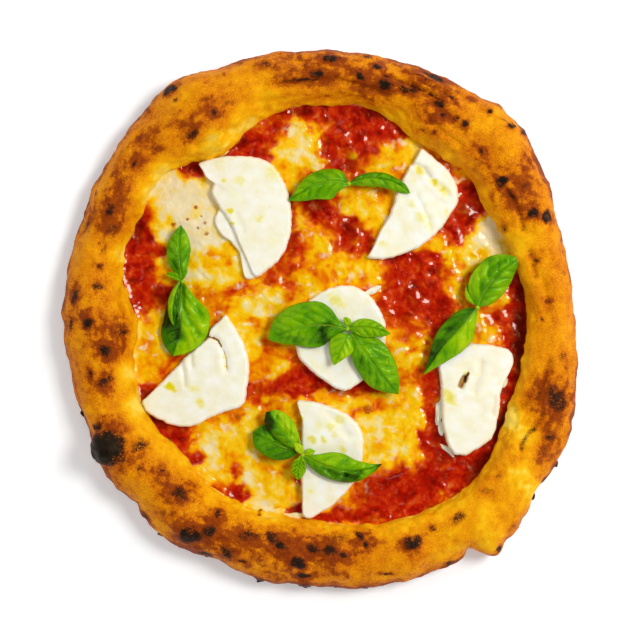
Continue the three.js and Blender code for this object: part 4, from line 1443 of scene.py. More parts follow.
@dataclass
class Slice:
    """A slice cut from a ball of fresh mozzarella, laid on the sauce."""

    name: str
    middle: tuple[float, float]
    outline: Outline
    thickness: float = SLICE_THICKNESS
    edge: float = 2.0
    dome: float = 0.6
    folds: tuple[Fold, ...] = ()
    oil: Table = ()
    pits: tuple[Fold, ...] = ()
    seed: int = 1
    points_round: int = 260
    rings: int = 46
    sunk: float = 1.2
    wall: float = 0.55

    def build(self) -> Surface:
        """Make the slice as a closed surface.

        Returns:
            The surface with its masks.
        """
        grain = Grain(self.seed)
        loop = spline(anticlockwise(self.outline), self.points_round, closed=True, tension=0.42)
        middle = np.array(self.middle)
        outward = loop - middle
        unit = outward / np.linalg.norm(outward, axis=1)[:, None]
        loop = loop + unit * (grain.layers(flat(loop), 3.4, 2) * 0.4)[:, None]
        full = np.linalg.norm(loop - middle, axis=1)
        low, high = LAID_ON - self.sunk, LAID_ON + self.thickness
        tall, wall = high - low, self.wall
        rise = np.linspace(0.0, 1.0, 9)
        # The wall bulges a little, the corner over it is round, and the top is flat.
        side = [(self.edge * 0.3 * (1 - math.sin(t * math.pi)) ** 2, low + t * tall * wall)
                for t in rise[:-1]]
        corner = [(self.edge * (1 - math.cos(t * math.pi / 2)),
                   low + tall * (wall + (1.0 - wall) * math.sin(t * math.pi / 2)))
                  for t in rise]
        rings = [(full - inset, z) for inset, z in side + corner]
        rings += [((full - self.edge) * share, high)
                  for share in np.linspace(1.0, 0.0, self.rings + 1)[1:-1]]
        stack = np.array([
            np.column_stack([middle + unit * reach[:, None], np.full(len(reach), z)])
            for reach, z in rings])
        points = stack.reshape(-1, 3)
        relief, masks = self.relief(points, grain)
        points[:, 2] += relief * ease(points[:, 2], low + tall * 0.5, high)
        surface = Surface.from_rings(stack, np.array([*middle, low]),
                                     np.array([*middle, stack[-1, :, 2].mean()]))
        for name, values in masks.items():
            surface.masks[name] = np.concatenate([values, [0.0], [values[-1]]])
        return surface

    def relief(self, points: Array, grain: Grain) -> tuple[Array, dict[str, Array]]:
        """Height of the slice's top over its flat level, and the colour masks.

        Args:
            points: the slice's points.
            grain: the slice's own noise.

        Returns:
            Heights in mm, the oil mask, and the fold and pit masks of painted shade.
        """
        plan = points[:, :2]
        level = flat(plan)
        spread = np.linalg.norm(plan - np.array(self.middle), axis=1)
        relief = self.dome * fall(spread, 0.0, 34.0)
        relief += grain.layers(level, 17.0, 2) * 0.3
        relief += grain.layers(level, 4.5, 2) * 0.07
        wander = grain.layers(level + 40.0, 5.0, 2)[:, None] * 0.5
        drift = plan + grain.layers(level + 90.0, 4.4, 2)[:, None] * np.array([1.5, -1.2])
        oil, crease_shaded, torn = np.zeros((3, len(points)))
        # Each fold dips the top and gets painted shade in its groove.
        for fold in self.folds:
            gap = along_line(plan + wander * 0.8, fold.line)
            groove = np.exp(-(gap / fold.width) ** 2)
            lip = np.exp(-((gap - fold.width * 2.2) / (fold.width * 1.4)) ** 2)
            relief += lip * fold.depth * 0.35 - groove * fold.depth
            crease_shaded = np.maximum(crease_shaded, groove * fold.shade)
        for x, y, reach, strength in self.oil:
            distance = np.hypot(drift[:, 0] - x, drift[:, 1] - y) / reach
            oil = np.maximum(oil, strength * fall(distance, 0.2, 1.7))
        # Each pit sinks into the top and gets painted shade that deepens towards its line.
        for pit in self.pits:
            gap = along_line(plan + wander * 0.5, pit.line) / pit.width
            hollow = fall(gap, 0.4, 1.2)
            relief += fall(gap, 1.0, 2.6) * 0.3 - hollow * pit.depth
            torn = np.maximum(torn, pit.shade * fall(gap, 0.5, 1.1))
        return relief, {"oil": oil, "fold": crease_shaded, "pit": torn}


SLICES = (
    Slice("mozzarella_under_upper_left", (-47, 45), (
        (-33, 32), (-34, 46), (-42, 56), (-50, 64), (-57, 63), (-60.4, 56.4), (-57, 49),
        (-50.2, 43.3), (-44.5, 34.8), (-43, 24), (-38, 23.5)),
        thickness=3, edge=1.4, dome=0.2, seed=21, points_round=180, rings=20),
    Slice("mozzarella_upper_left", (-41, 64), (
        (-36.5, 23.9), (-30, 28), (-24.5, 32.5), (-19.5, 40), (-16.8, 49), (-16.2, 57),
        (-16.8, 65), (-18.6, 73), (-22, 81), (-27, 88), (-33, 91.4), (-41, 92.8),
        (-50, 93), (-58.7, 92.3), (-65.5, 90.4), (-69.2, 88.6), (-67, 84.6),
        (-65.6, 81.6), (-63.4, 79.8), (-60.8, 78.2), (-61.6, 75), (-61.8, 71.4),
        (-59.4, 67), (-56.6, 62.2), (-53, 57), (-49.4, 50.4), (-46, 43), (-42.4, 35),
        (-39.4, 28)),
        dome=0.7, seed=22,
        folds=(Fold([(-47, 60), (-43, 50)], 1.6, 0.25, 0.12),),
        oil=((-27, 83, 5.5, 0.42), (-46, 79, 3.5, 0.42), (-55, 79, 1.4, 0.8),
             (-51, 61.5, 1.8, 1), (-34.5, 57, 2.6, 0.6), (-50, 54.5, 1.2, 0.9),
             (-56, 88, 5, 0.3), (-27, 44, 5, 0.28), (-49, 70, 3, 0.26))),
    Slice("mozzarella_upper_right", (57, 62), (
        (27.4, 35.2), (33, 34.2), (39.5, 34.6), (46, 36.6), (53, 39.2), (60, 43.2),
        (66.5, 49), (70.6, 53.6), (73.8, 58.8), (76.6, 62.6), (78.6, 66.4), (78.9, 70.4),
        (78.2, 76), (74.6, 82.6), (70.4, 87.6), (66, 91.4), (61.6, 94.8), (57.9, 97),
        (55, 92.4), (52.6, 88.4), (51.4, 87.8), (49.6, 84.2), (47.3, 80.4), (44.8, 75),
        (42.9, 69.5), (41, 63), (38.4, 57.2), (35.2, 51.8), (32.5, 46.4), (30, 40.4)),
        dome=0.6, seed=23,
        folds=(Fold([(53.6, 88.4), (60, 85.2), (63, 81), (64.6, 77), (69, 75.4), (73, 71)],
                    1.5, 0.8, 0.5),
               Fold([(55.5, 70), (60, 60), (63, 52)], 1.8, 0.35, 0.15)),
        oil=((56.5, 84.4, 2.4, 0.85), (65, 78, 2.2, 0.95), (69, 74.5, 2.4, 0.75),
             (71.2, 72, 3.6, 0.5), (58, 58, 3.4, 0.5), (61.5, 53.2, 2.6, 0.5),
             (35.6, 42.6, 2.4, 0.45), (52, 66, 3, 0.42), (72, 61, 2.8, 0.45),
             (53.6, 79, 1.6, 0.4))),
    Slice("mozzarella_middle", (13, -11), (
        (37.6, -4.6), (36.2, 1), (33.6, 6.4), (29.4, 12.4), (24, 16.6), (19, 18.6),
        (14.2, 19.2), (9.6, 18.8), (4.4, 17), (-0.6, 14.5), (-4.6, 11.6), (-8, 8),
        (-11.6, 1), (-13.7, -5.1), (-14, -12.6), (-13.1, -19.9), (-10, -25), (-5.7, -29),
        (-1, -33), (4, -36.4), (9, -39.6), (14.2, -41), (18.6, -39.4), (24.5, -35),
        (32, -26), (37, -16)),
        thickness=5.8, dome=0.9, seed=24,
        oil=((9, 10.5, 3.6, 0.62), (12, 8, 2.6, 0.5), (6, 13.5, 3, 0.4),
             (-3, -26, 3.5, 0.25))),
    Slice("mozzarella_left", (-62, -36), (
        (-40.5, -31.9), (-40.8, -24), (-42.8, -15.6), (-45.4, -10.6), (-48.4, -5.2),
        (-51.4, -1), (-53.8, 2.4), (-56.6, -0.4), (-59.8, -3), (-62.6, -5.6),
        (-64, -10.4), (-68, -14), (-72, -17.4), (-76, -20.8), (-79.2, -24.2),
        (-81.6, -27), (-86, -31.4), (-91, -36.6), (-95.4, -41), (-98.8, -44.4),
        (-101.6, -47.6), (-99.8, -52), (-96, -55), (-91, -57.8), (-86, -60),
        (-80, -61.4), (-74.6, -61.6), (-69.4, -60), (-62.7, -56.4), (-55, -53.4),
        (-47, -51), (-43, -47.4), (-41.8, -40)),
        dome=0.5, seed=25,
        pits=(Fold([(-63.4, -10.2), (-60.6, -10.8), (-58.2, -12.4), (-56.2, -15.6)],
                   0.5, 1.3, 1),
              Fold([(-55, -18), (-53.6, -22), (-53, -28.4)], 0.5, 0.9, 0.32)),
        folds=(Fold([(-64.4, -9.6), (-60, -11), (-56.4, -15), (-54, -20.6), (-53, -29)],
                    1.7, 0.7, 0.16),
               Fold([(-78.4, -24.6), (-77.6, -30), (-76.4, -38)], 1.3, 0.6, 0.3),
               Fold([(-73.6, -20), (-72.6, -27)], 1.3, 0.6, 0.3)),
        oil=((-85.6, -38.4, 2.4, 1.2), (-84, -39.8, 2, 1.1), (-68.4, -47.6, 2.6, 0.62),
             (-71.6, -40, 3.6, 0.42), (-76, -44, 3.4, 0.2), (-55, -21, 1.5, 0.6),
             (-53.4, -27, 1.5, 0.6), (-78, -50, 5, 0.16))),
    Slice("mozzarella_right", (88, -46), (
        (108.9, -29), (110.4, -25), (110.2, -20.6), (107.6, -17.6), (104, -16.2),
        (98.6, -15), (92, -14.4), (86.6, -14), (83, -14.8), (78, -18), (72.4, -22),
        (67.6, -25.6), (68.4, -32), (69, -39.3), (69.2, -47), (69.5, -53.6), (70, -60),
        (71.4, -66.6), (73.4, -72.6), (76.4, -77), (80, -77.8), (83.8, -77.8),
        (88, -75.2), (92.9, -72.4), (97.6, -68.6), (100.4, -63), (101.4, -57),
        (102.6, -51.3), (103, -43.3), (105.6, -36)),
        dome=0.5, seed=26,
        folds=(Fold([(92.3, -25), (90.6, -33), (87.8, -41)], 2, 0.6, 0.2),
               Fold([(99.4, -46), (99, -54)], 1.6, 0.5, 0.18),
               Fold([(84, -31.4), (81.6, -34.8), (80, -38.6)], 2.2, 0.7, 0.3)),
        oil=((74.4, -45.4, 3.4, 0.8), (73, -43, 3, 0.6), (76, -48, 2, 0.6),
             (83.6, -31, 2, 0.5), (89.4, -31.4, 2.4, 0.3)),
        pits=(Fold([(82.4, -33.6), (81.2, -35.4), (80.2, -37.8)], 2, 3.4, 0.5),
              Fold([(84.4, -31), (83.4, -32.8), (82.6, -35.6)], 0.9, 1.2, 0.9))),
    Slice("mozzarella_lower", (3, -79), (
        (24.5, -79.2), (24.8, -71), (23.9, -64.4), (20.8, -59), (15.4, -54.4),
        (9.1, -51.4), (3, -49), (-3, -47.4), (-8.4, -46.6), (-13, -46.9), (-12, -52),
        (-10.4, -58), (-10.6, -64), (-11, -72), (-11, -80), (-11, -88), (-10.4, -96),
        (-10.3, -104), (-9.9, -112), (-7.8, -113.8), (-5.2, -114), (0, -111), (6.8, -106.8),
        (13, -101), (18.8, -94.3), (22.4, -87)),
        dome=0.6, seed=27,
        folds=(Fold([(5, -54), (12, -60), (16, -66)], 2.4, 0.5, 0.14),),
        oil=((-5, -68, 2.2, 0.75), (2.2, -69, 1.8, 0.7), (13, -74.6, 2.6, 0.62),
             (11, -57.6, 3.2, 0.5), (5.6, -61, 3, 0.5), (-5, -98.6, 2.2, 0.45),
             (-10.4, -57.4, 2, 0.75), (-1, -60, 2.6, 0.4), (8, -66, 2.4, 0.4))),
)


@dataclass
class Leaf:
    """One basil leaf: its midrib, its half widths on each side, and how each half hangs."""

    midrib: Table
    left: tuple[float, ...]
    right: tuple[float, ...]
    # How far the left and the right half hang, and how much lighter or darker each half is
    # painted: painted light where a half faces the lamp, painted shade where it turns away.
    drop: tuple[float, float] = (2.4, 2.4)
    painted_half_light: tuple[float, float] = (0.0, 0.0)
    tone: float = 0.55
    pucker: float = 0.6
    roll: float = 0.8
    veins: int = 5
    wilt: float = 0.0
    seed: int = 3
    thickness: float = 0.45
    creases: tuple[Fold, ...] = ()
    # Spots of painted shade, or of painted light where the change is positive: x, y, reach and
    # change of tone.
    shades: Table = ()
    rows_along: int = 84
    points_across: int = 39

    STATIONS = (0.0, 0.12, 0.3, 0.5, 0.7, 0.88, 1.0)

    def build(self) -> Surface:
        """Make the blade as a closed thin surface.

        Returns:
            The surface with its masks.
        """
        grain = Grain(self.seed)
        count, width = self.rows_along, self.points_across
        rib = spline(np.array(self.midrib, dtype=float), count, closed=False)
        along = np.gradient(rib, axis=0)
        along[:, 2] *= 0.3
        along /= np.linalg.norm(along, axis=1, keepdims=True)
        side = np.cross([0.0, 0.0, 1.0], along)
        side /= np.linalg.norm(side, axis=1, keepdims=True)
        t = np.linspace(0.0, 1.0, count)[:, None]
        v = np.broadcast_to(np.linspace(-1.0, 1.0, width), (count, width))
        edge = np.abs(v)
        half = np.where(v > 0, self.width(self.left, t), self.width(self.right, t))
        drop = np.where(v > 0, *self.drop)
        widest = np.where(v > 0, max(self.left), max(self.right))
        place = rib[:, None, :] + side[:, None, :] * (v * half)[..., None]
        plan = flat(place[..., :2].reshape(-1, 2)) + 9.0 * self.seed
        groove, pillow = self.veining(t, v, half, grain.at(plan, 6.0).reshape(v.shape))
        sag = -drop * edge ** 1.6 * (half / widest) ** 1.1
        roll = grain.layers(plan, 11.0, 2).reshape(v.shape) * ease(half, 1.0, 6.0)
        flutter = grain.layers(plan + 70.0, 6.0, 2).reshape(v.shape) * edge ** 2
        lift = sag - 0.65 * groove + pillow * self.pucker * 1.35 + roll * self.roll
        lift = lift + flutter * 0.6
        dusk = np.zeros_like(lift)
        crumple = grain.layers(plan + 130.0, 8.0, 2)[:, None] * np.array([0.7, 0.7])
        spots = place[..., :2].reshape(-1, 2) + crumple
        # Each crease dips the blade and gets painted shade; each spot adds painted shade or
        # painted light.
        for fold in self.creases:
            press = np.exp(-(along_line(spots, fold.line).reshape(v.shape) / fold.width) ** 2)
            lift = lift - fold.depth * press
            dusk -= fold.shade * 0.7 * press
        for x, y, reach, change in self.shades:
            gap = np.hypot(spots[:, 0] - x, spots[:, 1] - y).reshape(v.shape) / reach
            dusk += change * 0.75 * fall(gap, 0.1, 1.5)
        place[..., 2] += lift
        thin = self.thickness * (1.0 - 0.75 * edge ** 4)
        up = np.array([0.0, 0.0, 0.5])
        top, bottom = place + up * thin[..., None], place - up * thin[..., None]
        loops = np.concatenate([top, bottom[:, 1:-1][:, ::-1]], axis=1)
        # The tone carries painted light and shade: each half as it faces the lamp, darker
        # grooves, lighter pillows, raised rolls and outer edges, and the painted creases and
        # spots.
        tone = (self.tone + np.where(v > 0, *self.painted_half_light)
                - 0.08 * groove + 0.1 * (pillow - 0.3) + 0.1 * ease(edge, 0.72, 1.0)
                - 0.1 * fall(t, 0.0, 0.18) + 0.12 * roll + dusk)
        vein = 0.5 * np.exp(-(edge * half / 0.35) ** 2) * fall(t, 0.2, 0.8)
        masks = {"tone": tone, "vein": vein,
                 "wilt": self.wilt * ease(t + 0.0 * v, 0.86, 1.0)}
        surface = Surface.from_rings(loops[1:-1], rib[0], rib[-1])
        surface.quads = surface.quads[:, ::-1]
        surface.triangles = surface.triangles[:, ::-1]
        for name, values in masks.items():
            ring = np.concatenate([values, values[:, 1:-1][:, ::-1]], axis=1)[1:-1]
            surface.masks[name] = np.concatenate([ring.ravel(), [values[0, 0]],
                                                  [values[-1, 0]]])
        return surface

    def width(self, halves: tuple[float, ...], t: Array) -> Array:
        """Half width along the leaf, smooth between its stations.

        Args:
            halves: half widths at the inner stations in mm.
            t: place along the leaf, from 0 at its stalk to 1 at its tip.

        Returns:
            Half widths in mm.
        """
        values = np.array([0.7, *halves, 0.0])
        dense = spline(np.column_stack([self.STATIONS, values]), 400, closed=False)
        return np.maximum(np.interp(t, dense[:, 0], dense[:, 1]), 0.12)

    def veining(self, t: Array, v: Array, half: Array,
                wander: Array) -> tuple[Array, Array]:
        """Grooves over the midrib and the side veins, and the pillows between them.

        Args:
            t: place along the leaf.
            v: place across it, from -1 to 1.
            half: half width there in mm.
            wander: noise that makes the side veins irregular.

        Returns:
            The depth of the grooves and the height of the pillows, both from 0 to 1.
        """
        length = np.linalg.norm(np.diff(np.array(self.midrib), axis=0), axis=1).sum()
        edge = np.abs(v)
        lead = t - (edge * half) ** 1.25 / length * 0.62 + wander * 0.035
        wave = np.abs(np.sin((lead * self.veins + np.where(v > 0, 0.0, 0.45)) * math.pi))
        fade = ease(edge, 0.0, 0.2) * fall(edge, 0.7, 0.98)
        fade = fade * ease(t, 0.04, 0.2) * fall(t, 0.75, 0.98)
        side_groove = fall(wave, 0.0, 0.5) * fade
        rib_groove = np.exp(-(edge * half / 0.6) ** 2) * (0.55 + 0.45 * ease(wander, -0.3, 0.3))
        return np.maximum(rib_groove, side_groove * 0.32), wave ** 0.7 * fade


@dataclass
class Sprig:
    """A sprig of basil: its leaves, and the knot of stalk that they grow from."""

    name: str
    node: tuple[float, float, float]
    leaves: tuple[Leaf, ...]
    sides: int = 20
    # Radius and height of the stalk's rings.
    stalk: Table = (
        (0.9, -2.6), (1.2, -2.2), (1.25, -1.0), (1.3, 0.0), (1.0, 0.5))

    def build(self) -> Surface:
        """Make the leaves and the stalk as one mesh."""
        return merged([leaf.build() for leaf in self.leaves] + [self.knot()])

    def knot(self) -> Surface:
        """The short cut stalk under the leaves.

        Returns:
            The stalk with its masks.
        """
        middle = np.array(self.node)
        angle = np.arange(self.sides) * FULL_TURN / self.sides
        rings = [middle + np.column_stack([np.cos(angle) * radius, np.sin(angle) * radius,
                                           np.full(self.sides, level)])
                 for radius, level in self.stalk]
        surface = Surface.from_rings(np.array(rings), middle + [0, 0, -2.7],
                                     middle + [0, 0, 0.7])
        count = len(surface.corners)
        surface.masks = {"tone": np.full(count, 0.85), "vein": np.full(count, 0.6),
                         "wilt": np.zeros(count)}
        return surface


SPRIGS = (
    Sprig("basil_top", (16.5, 77, 12.4), (
        Leaf(((16, 77, 12.6), (8, 78.2, 14.2), (-3, 76, 15), (-11, 71.5, 14.4),
              (-18.3, 67.3, 13.4)),
             (5.6, 9.8, 8.7, 6.4, 3.1), (6, 7.6, 7.1, 4.9, 1.9),
             tone=0.52, drop=(1.8, 2.6), seed=51),
        Leaf(((17, 77, 12.6), (27, 79.8, 15.2), (37, 79, 16.2), (45, 76, 15.6),
              (51.3, 71.3, 14)),
             (2.3, 3.3, 3.7, 2.9, 2), (2.8, 4.6, 4.7, 4.6, 3.2),
             tone=0.42, drop=(1.8, 2.4), painted_half_light=(0, 0.14), veins=5, seed=52),
    )),
    Sprig("basil_left", (-78.5, 21.5, 11.2), (
        Leaf(((-78.6, 21.6, 11.2), (-79.6, 9, 12.6), (-79.4, -5, 13), (-84, -21.4, 10.8)),
             (5.2, 12.4, 16.4, 14.6, 8.2), (3.6, 7.6, 10.2, 10.8, 7.2),
             tone=0.46, painted_half_light=(0.22, -0.2), drop=(0.6, 3.2),
             pucker=0.4, roll=1, veins=6, seed=55,
             creases=(Fold([(-78.4, 18), (-77.6, 8), (-75, 0), (-69, -9)], 1.5, 1.6, 0.34),
                      Fold([(-73, 12), (-68, 2)], 1.3, 0.5, 0.1),
                      Fold([(-80, -6), (-79.6, -12)], 2.2, 1.2, 0.3)),
             shades=((-89, 6, 7, -0.5), (-86, -1, 6, -0.5), (-80, -9, 4, -0.24),
                     (-86, -14, 6, 0.14), (-72, -13, 5, 0.12), (-66, -4, 5, 0.1))),
        Leaf(((-78.5, 22, 12.2), (-79.5, 30, 13), (-80.3, 40, 13), (-79.2, 53.6, 11.8)),
             (3.1, 6, 7.3, 6.1, 3.1), (3.4, 4.9, 6.5, 6, 3.2),
             tone=0.52, drop=(2, 2), pucker=0.4, seed=54,
             creases=(Fold([(-81.5, 26), (-83.4, 33)], 1.4, 0.7, 0.2),),
             shades=((-83, 31, 5, -0.24), (-75.4, 38, 3, -0.12), (-82, 45, 5, 0.12))),
        Leaf(((-79.4, 21.4, 13.6), (-82.4, 13, 15.4), (-83.6, 3, 15.6), (-82.6, -4.4, 14.6)),
             (1.8, 2.6, 2.8, 2.2, 1.2), (1.6, 2.8, 3.2, 2.6, 1.4),
             tone=0.5, painted_half_light=(-0.3, 0.12), drop=(1.4, 1.4),
             pucker=0.3, veins=4, seed=53),
        Leaf(((-78.6, 22, 12.4), (-83, 24.6, 12.2), (-87.8, 26, 11.2)),
             (1.4, 2, 2.1, 1.7, 1), (1.2, 1.8, 1.9, 1.5, 0.9),
             tone=0.58, drop=(0.5, 0.5), pucker=0.2, veins=3, seed=56),
    )),
    Sprig("basil_right", (89.5, 6.4, 14.2), (
        Leaf(((89.5, 7, 14.4), (93.8, 16.5, 17.4), (102, 26.5, 19.2), (112.3, 34.5, 18.6)),
             (6.6, 11, 11.7, 10.4, 5.6), (6.8, 9.2, 9.6, 8, 4.3),
             tone=0.6, drop=(3.2, 3.2), painted_half_light=(0, -0.02), seed=57, pucker=0.7,
             creases=(Fold([(96, 25), (99, 30), (104, 32)], 1.6, 1.3, 0.3),
                      Fold([(91, 14), (92, 22)], 1.2, 0.7, 0.16)),
             shades=((108, 33, 5, -0.2), (95, 18, 5, -0.32), (90, 27, 6, 0.12),
                     (104, 17, 6, 0.1))),
        Leaf(((89, 6, 14.4), (80, -4.5, 16.6), (69, -16.5, 16.4), (58.7, -31.9, 12)),
             (4.6, 9.6, 10.1, 7.1, 2.9), (6.2, 8.2, 7.8, 4.5, 1.7),
             tone=0.5, painted_half_light=(0.22, -0.2), drop=(2.6, 4.2),
             pucker=0.5, seed=58,
             creases=(Fold([(80, 0), (72, -7), (66, -16)], 1.5, 0.9, 0.2),),
             shades=((64, -22, 8, -0.34), (72, -17, 5, -0.16), (80, -12, 6, 0.12))),
        Leaf(((88, 8.4, 14.2), (85.4, 13.2, 14), (83.6, 20, 12.6)),
             (1.6, 2.6, 2.8, 2.2, 1.2), (1.4, 2.2, 2.4, 2, 1.1),
             tone=0.74, drop=(0.6, 0.6), pucker=0.2, veins=3, seed=59),
    )),
    Sprig("basil_middle", (15.6, -5.6, 16.8), (
        Leaf(((15, -5.7, 17), (3, -3.4, 19.4), (-12, -5.2, 18.6), (-29.6, -11.4, 14.8)),
             (6.3, 11.8, 12.2, 8.9, 4.8), (4.1, 12.6, 13.8, 12.2, 7.4),
             tone=0.52, painted_half_light=(-0.02, 0), drop=(4, 3.6), seed=60, pucker=0.7,
             veins=7,
             creases=(Fold([(6, -1), (1, -7), (3, -14)], 2.2, 1.7, 0.36),
                      Fold([(8, 2), (0, 4), (-8, 3)], 1.4, 0.7, 0.12),
                      Fold([(-26, -9), (-14, -12), (-2, -13)], 1.5, 0.8, 0.14)),
             shades=((2, -8, 8, -0.2), (-20, 4, 8, 0.08), (-22, -16, 6, 0.1),
                     (8, -14, 5, -0.24))),
        Leaf(((16.5, -5.4, 17.4), (24, -4.5, 19.4), (32, -5.6, 19.8), (39.9, -8.5, 18.8)),
             (3.2, 4.7, 4.6, 3.3, 1.4), (3.5, 5.5, 5.5, 4.6, 2.6),
             tone=0.62, drop=(1.6, 1.6), veins=5, seed=61),
        Leaf(((17.5, -8, 17), (26, -20, 19), (35, -32, 18), (44.5, -42.8, 14.4)),
             (6.3, 11.4, 11.9, 9.9, 5.3), (4.2, 8.2, 9.6, 8.9, 4.3),
             tone=0.54, painted_half_light=(0, -0.04), drop=(3, 3.4), seed=62, pucker=0.7,
             veins=6,
             creases=(Fold([(24, -12), (32, -20), (38, -24)], 1.5, 0.9, 0.16),
                      Fold([(20, -18), (25, -28), (33, -37)], 1.4, 0.7, 0.12)),
             shades=((22, -24, 6, -0.14), (40, -28, 7, 0.08))),
        Leaf(((15.5, -8, 17.8), (12, -16, 19), (8, -26.2, 18.4)),
             (5.2, 7, 6.8, 4.3, 1.8), (4.7, 7.3, 6.8, 5, 2.6),
             tone=0.7, drop=(1.8, 1.8), pucker=0.4, veins=4, seed=63,
             shades=((16, -10, 4, -0.1),)),
        Leaf(((16, -4.4, 17.6), (15.4, -1.4, 19), (13.4, 1, 18.8)),
             (1.4, 2.2, 2.4, 1.8, 1), (1.2, 2, 2.2, 1.7, 0.9),
             tone=0.7, drop=(0.8, 0.8), pucker=0.2, veins=2, seed=68),
    )),
    Sprig("basil_lower", (-9.6, -77, 15.4), (
        Leaf(((-11.5, -75, 14.8), (-21, -72.6, 15.2), (-30, -68.5, 13.8), (-38.4, -64.4, 11.8)),
             (4.4, 7.6, 8.8, 8.2, 5.8), (2.8, 6.8, 8.8, 8.8, 6.2),
             tone=0.42, painted_half_light=(-0.1, 0), drop=(0.6, 2.8), pucker=0.5, veins=5,
             seed=65,
             creases=(Fold([(-16, -72), (-24, -67), (-31, -62)], 1.6, 1.2, 0.3),),
             shades=((-24, -64, 5, -0.3), (-34, -70, 5, 0.1))),
        Leaf(((-11, -74, 16.2), (-18, -66.5, 18), (-24, -59.5, 17.4), (-30.5, -52.8, 14.6)),
             (3, 5, 6.2, 6.4, 4.8), (3.2, 6, 7.8, 7.4, 5.2),
             tone=0.58, painted_half_light=(-0.2, 0.14), drop=(2.8, 1.8),
             pucker=0.5, veins=5, seed=64,
             creases=(Fold([(-13, -70), (-20, -62), (-25, -56)], 1.3, 0.9, 0.16),),
             shades=((-34, -57, 5.5, -1.1), (-30, -60, 4.5, -0.8), (-31.5, -53, 4, -0.9))),
        Leaf(((-9, -77.5, 15.8), (3, -83, 18), (16, -86, 18.6), (27, -84.6, 17.6),
              (35.3, -82.1, 16.2)),
             (3.5, 8.2, 9, 5.7, 1.9), (4.1, 6.3, 6.9, 6, 2.9),
             tone=0.5, painted_half_light=(0.1, 0), drop=(2.6, 2.6),
             wilt=1, seed=66, pucker=0.8,
             creases=(Fold([(2, -84), (10, -88), (20, -88.6)], 1.6, 1.4, 0.3),
                      Fold([(12, -92), (16, -87)], 1.2, 0.7, 0.2),
                      Fold([(20, -91), (23, -86)], 1.2, 0.7, 0.2)),
             shades=((16, -88, 8, -0.24), (8, -80, 7, 0.1))),
        Leaf(((-10.5, -77.6, 15.2), (-12.4, -84, 15.4), (-12.6, -91.4, 14.4)),
             (2.6, 4.2, 4.8, 4.2, 2.4), (1.8, 3.4, 4, 3.6, 2),
             tone=0.7, drop=(1, 1.2), veins=7, pucker=0.8, seed=67,
             creases=(Fold([(-10, -81), (-8.6, -87)], 0.8, 0.6, 0.16),
                      Fold([(-13, -82), (-15, -87)], 0.8, 0.6, 0.18))),
        Leaf(((-10, -76, 16.2), (-12, -73, 18.2), (-14.6, -70, 17.8)),
             (1.4, 2.2, 2.4, 1.8, 1), (1.2, 2, 2.4, 1.7, 0.9),
             tone=1, drop=(0.8, 0.8), pucker=0.2, veins=2, seed=69),
        Leaf(((-9, -76.4, 16.2), (-6, -75.4, 18), (-2.6, -74.6, 17.2)),
             (1.3, 2, 2.2, 1.7, 0.9), (1.2, 1.9, 2.1, 1.6, 0.9),
             tone=0.8, drop=(0.8, 0.8), pucker=0.2, veins=2, seed=70),
    )),
)


@dataclass
class Bits:
    """Small lumps scattered on the pizza, all of one stuff."""

    # x, y, z, half length, half width, half height and turn in degrees.
    lumps: Table
    masks: tuple[tuple[str, float], ...]
    seed: int = 9
    points_round: int = 22
    rings: int = 13
    roughen: float = 0.3
    sunk: float = 0.0

    def build(self, ground: Array) -> Surface:
        """Make all the lumps as one mesh, each set into the nearest corner of the ground.

        Args:
            ground: corners of what they lie on.

        Returns:
            The lumps with their masks.
        """
        grain = Grain(self.seed)
        angle = np.arange(self.points_round) * FULL_TURN / self.points_round
        polar = np.linspace(-0.5, 0.5, self.rings + 2)[1:-1, None] * math.pi
        ball = np.stack([np.cos(polar) * np.cos(angle), np.cos(polar) * np.sin(angle),
                         np.sin(polar) + 0.0 * angle], axis=-1)
        parts = []
        for *spot, half_long, half_wide, half_high, turn in self.lumps:
            x, y, z = ground[np.argmin(np.linalg.norm(ground - spot, axis=1))]
            x, y = np.array([x, y]) * (1.0 - self.sunk / math.hypot(x, y))
            middle = np.array([x, y, z])
            size = (half_long + half_wide + half_high) / 3.0
            bumps = grain.layers((ball * size + middle).reshape(-1, 3), size * 1.1, 2)
            lump = ball * (1.0 + self.roughen * bumps.reshape(ball.shape[:2]))[..., None]
            lump = lump * [half_long, half_wide, half_high]
            lump[..., 0], lump[..., 1] = turned(lump[..., 0], lump[..., 1], -turn)
            tip = np.array([0.0, 0.0, half_high])
            part = Surface.from_rings(lump + middle, middle - tip, middle + tip)
            part.masks = {name: np.full(len(part.corners), value)
                          for name, value in self.masks}
            parts.append(part)
        return merged(parts)


CHAR_CRUMBS = Bits((
    (-91.6, -124.4, 9, 2.2, 1.5, 1.8, 30), (-8.5, -153.6, 9, 3, 1.6, 2.2, 0),
    (-33.6, -149.6, 9, 3, 1.5, 2, 10), (26.6, -154.8, 9, 2.4, 1.5, 1.9, 0),
    (-136.6, -55.6, 10, 1.4, 2.2, 1.8, 20), (122.2, -102.4, 10, 1.4, 1.8, 1.6, -30),
    (134.2, -83.4, 10, 1.4, 1.6, 1.8, 0), (-64.8, -135.4, 9, 2.4, 1.2, 1.6, -8),
    (-143.4, -8, 10, 1.1, 2.6, 2, 0), (86.4, -131.2, 8, 1.5, 1.1, 1.4, 0),
    (-144, -24, 9, 1, 1.8, 1.5, 0),
), (("toast", 0.9), ("char", 0.8), ("stain", 0)), seed=61, roughen=0.55, sunk=0.45)
CHEESE_DRIPS = Bits((
    (-57.6, 97.4, 9.4, 5.4, 2.8, 1.5, 30), (-61.4, 94.4, 7.8, 4.2, 2.2, 1.2, 14),
    (-15.6, -112.6, 7.4, 6.4, 2.2, 1.3, 4), (-26, -110.4, 7, 5, 1.8, 1.1, 6),
    (-58, -99.4, 6.6, 6.5, 1, 0.9, -32), (-69, -90.6, 6.6, 6, 0.9, 0.8, -42),
    (-79, -80.6, 6.6, 4.6, 0.8, 0.8, -48),
), (("melt", 0.9), ("brown", 0.1), ("deep", 0)), seed=62, roughen=0.45)
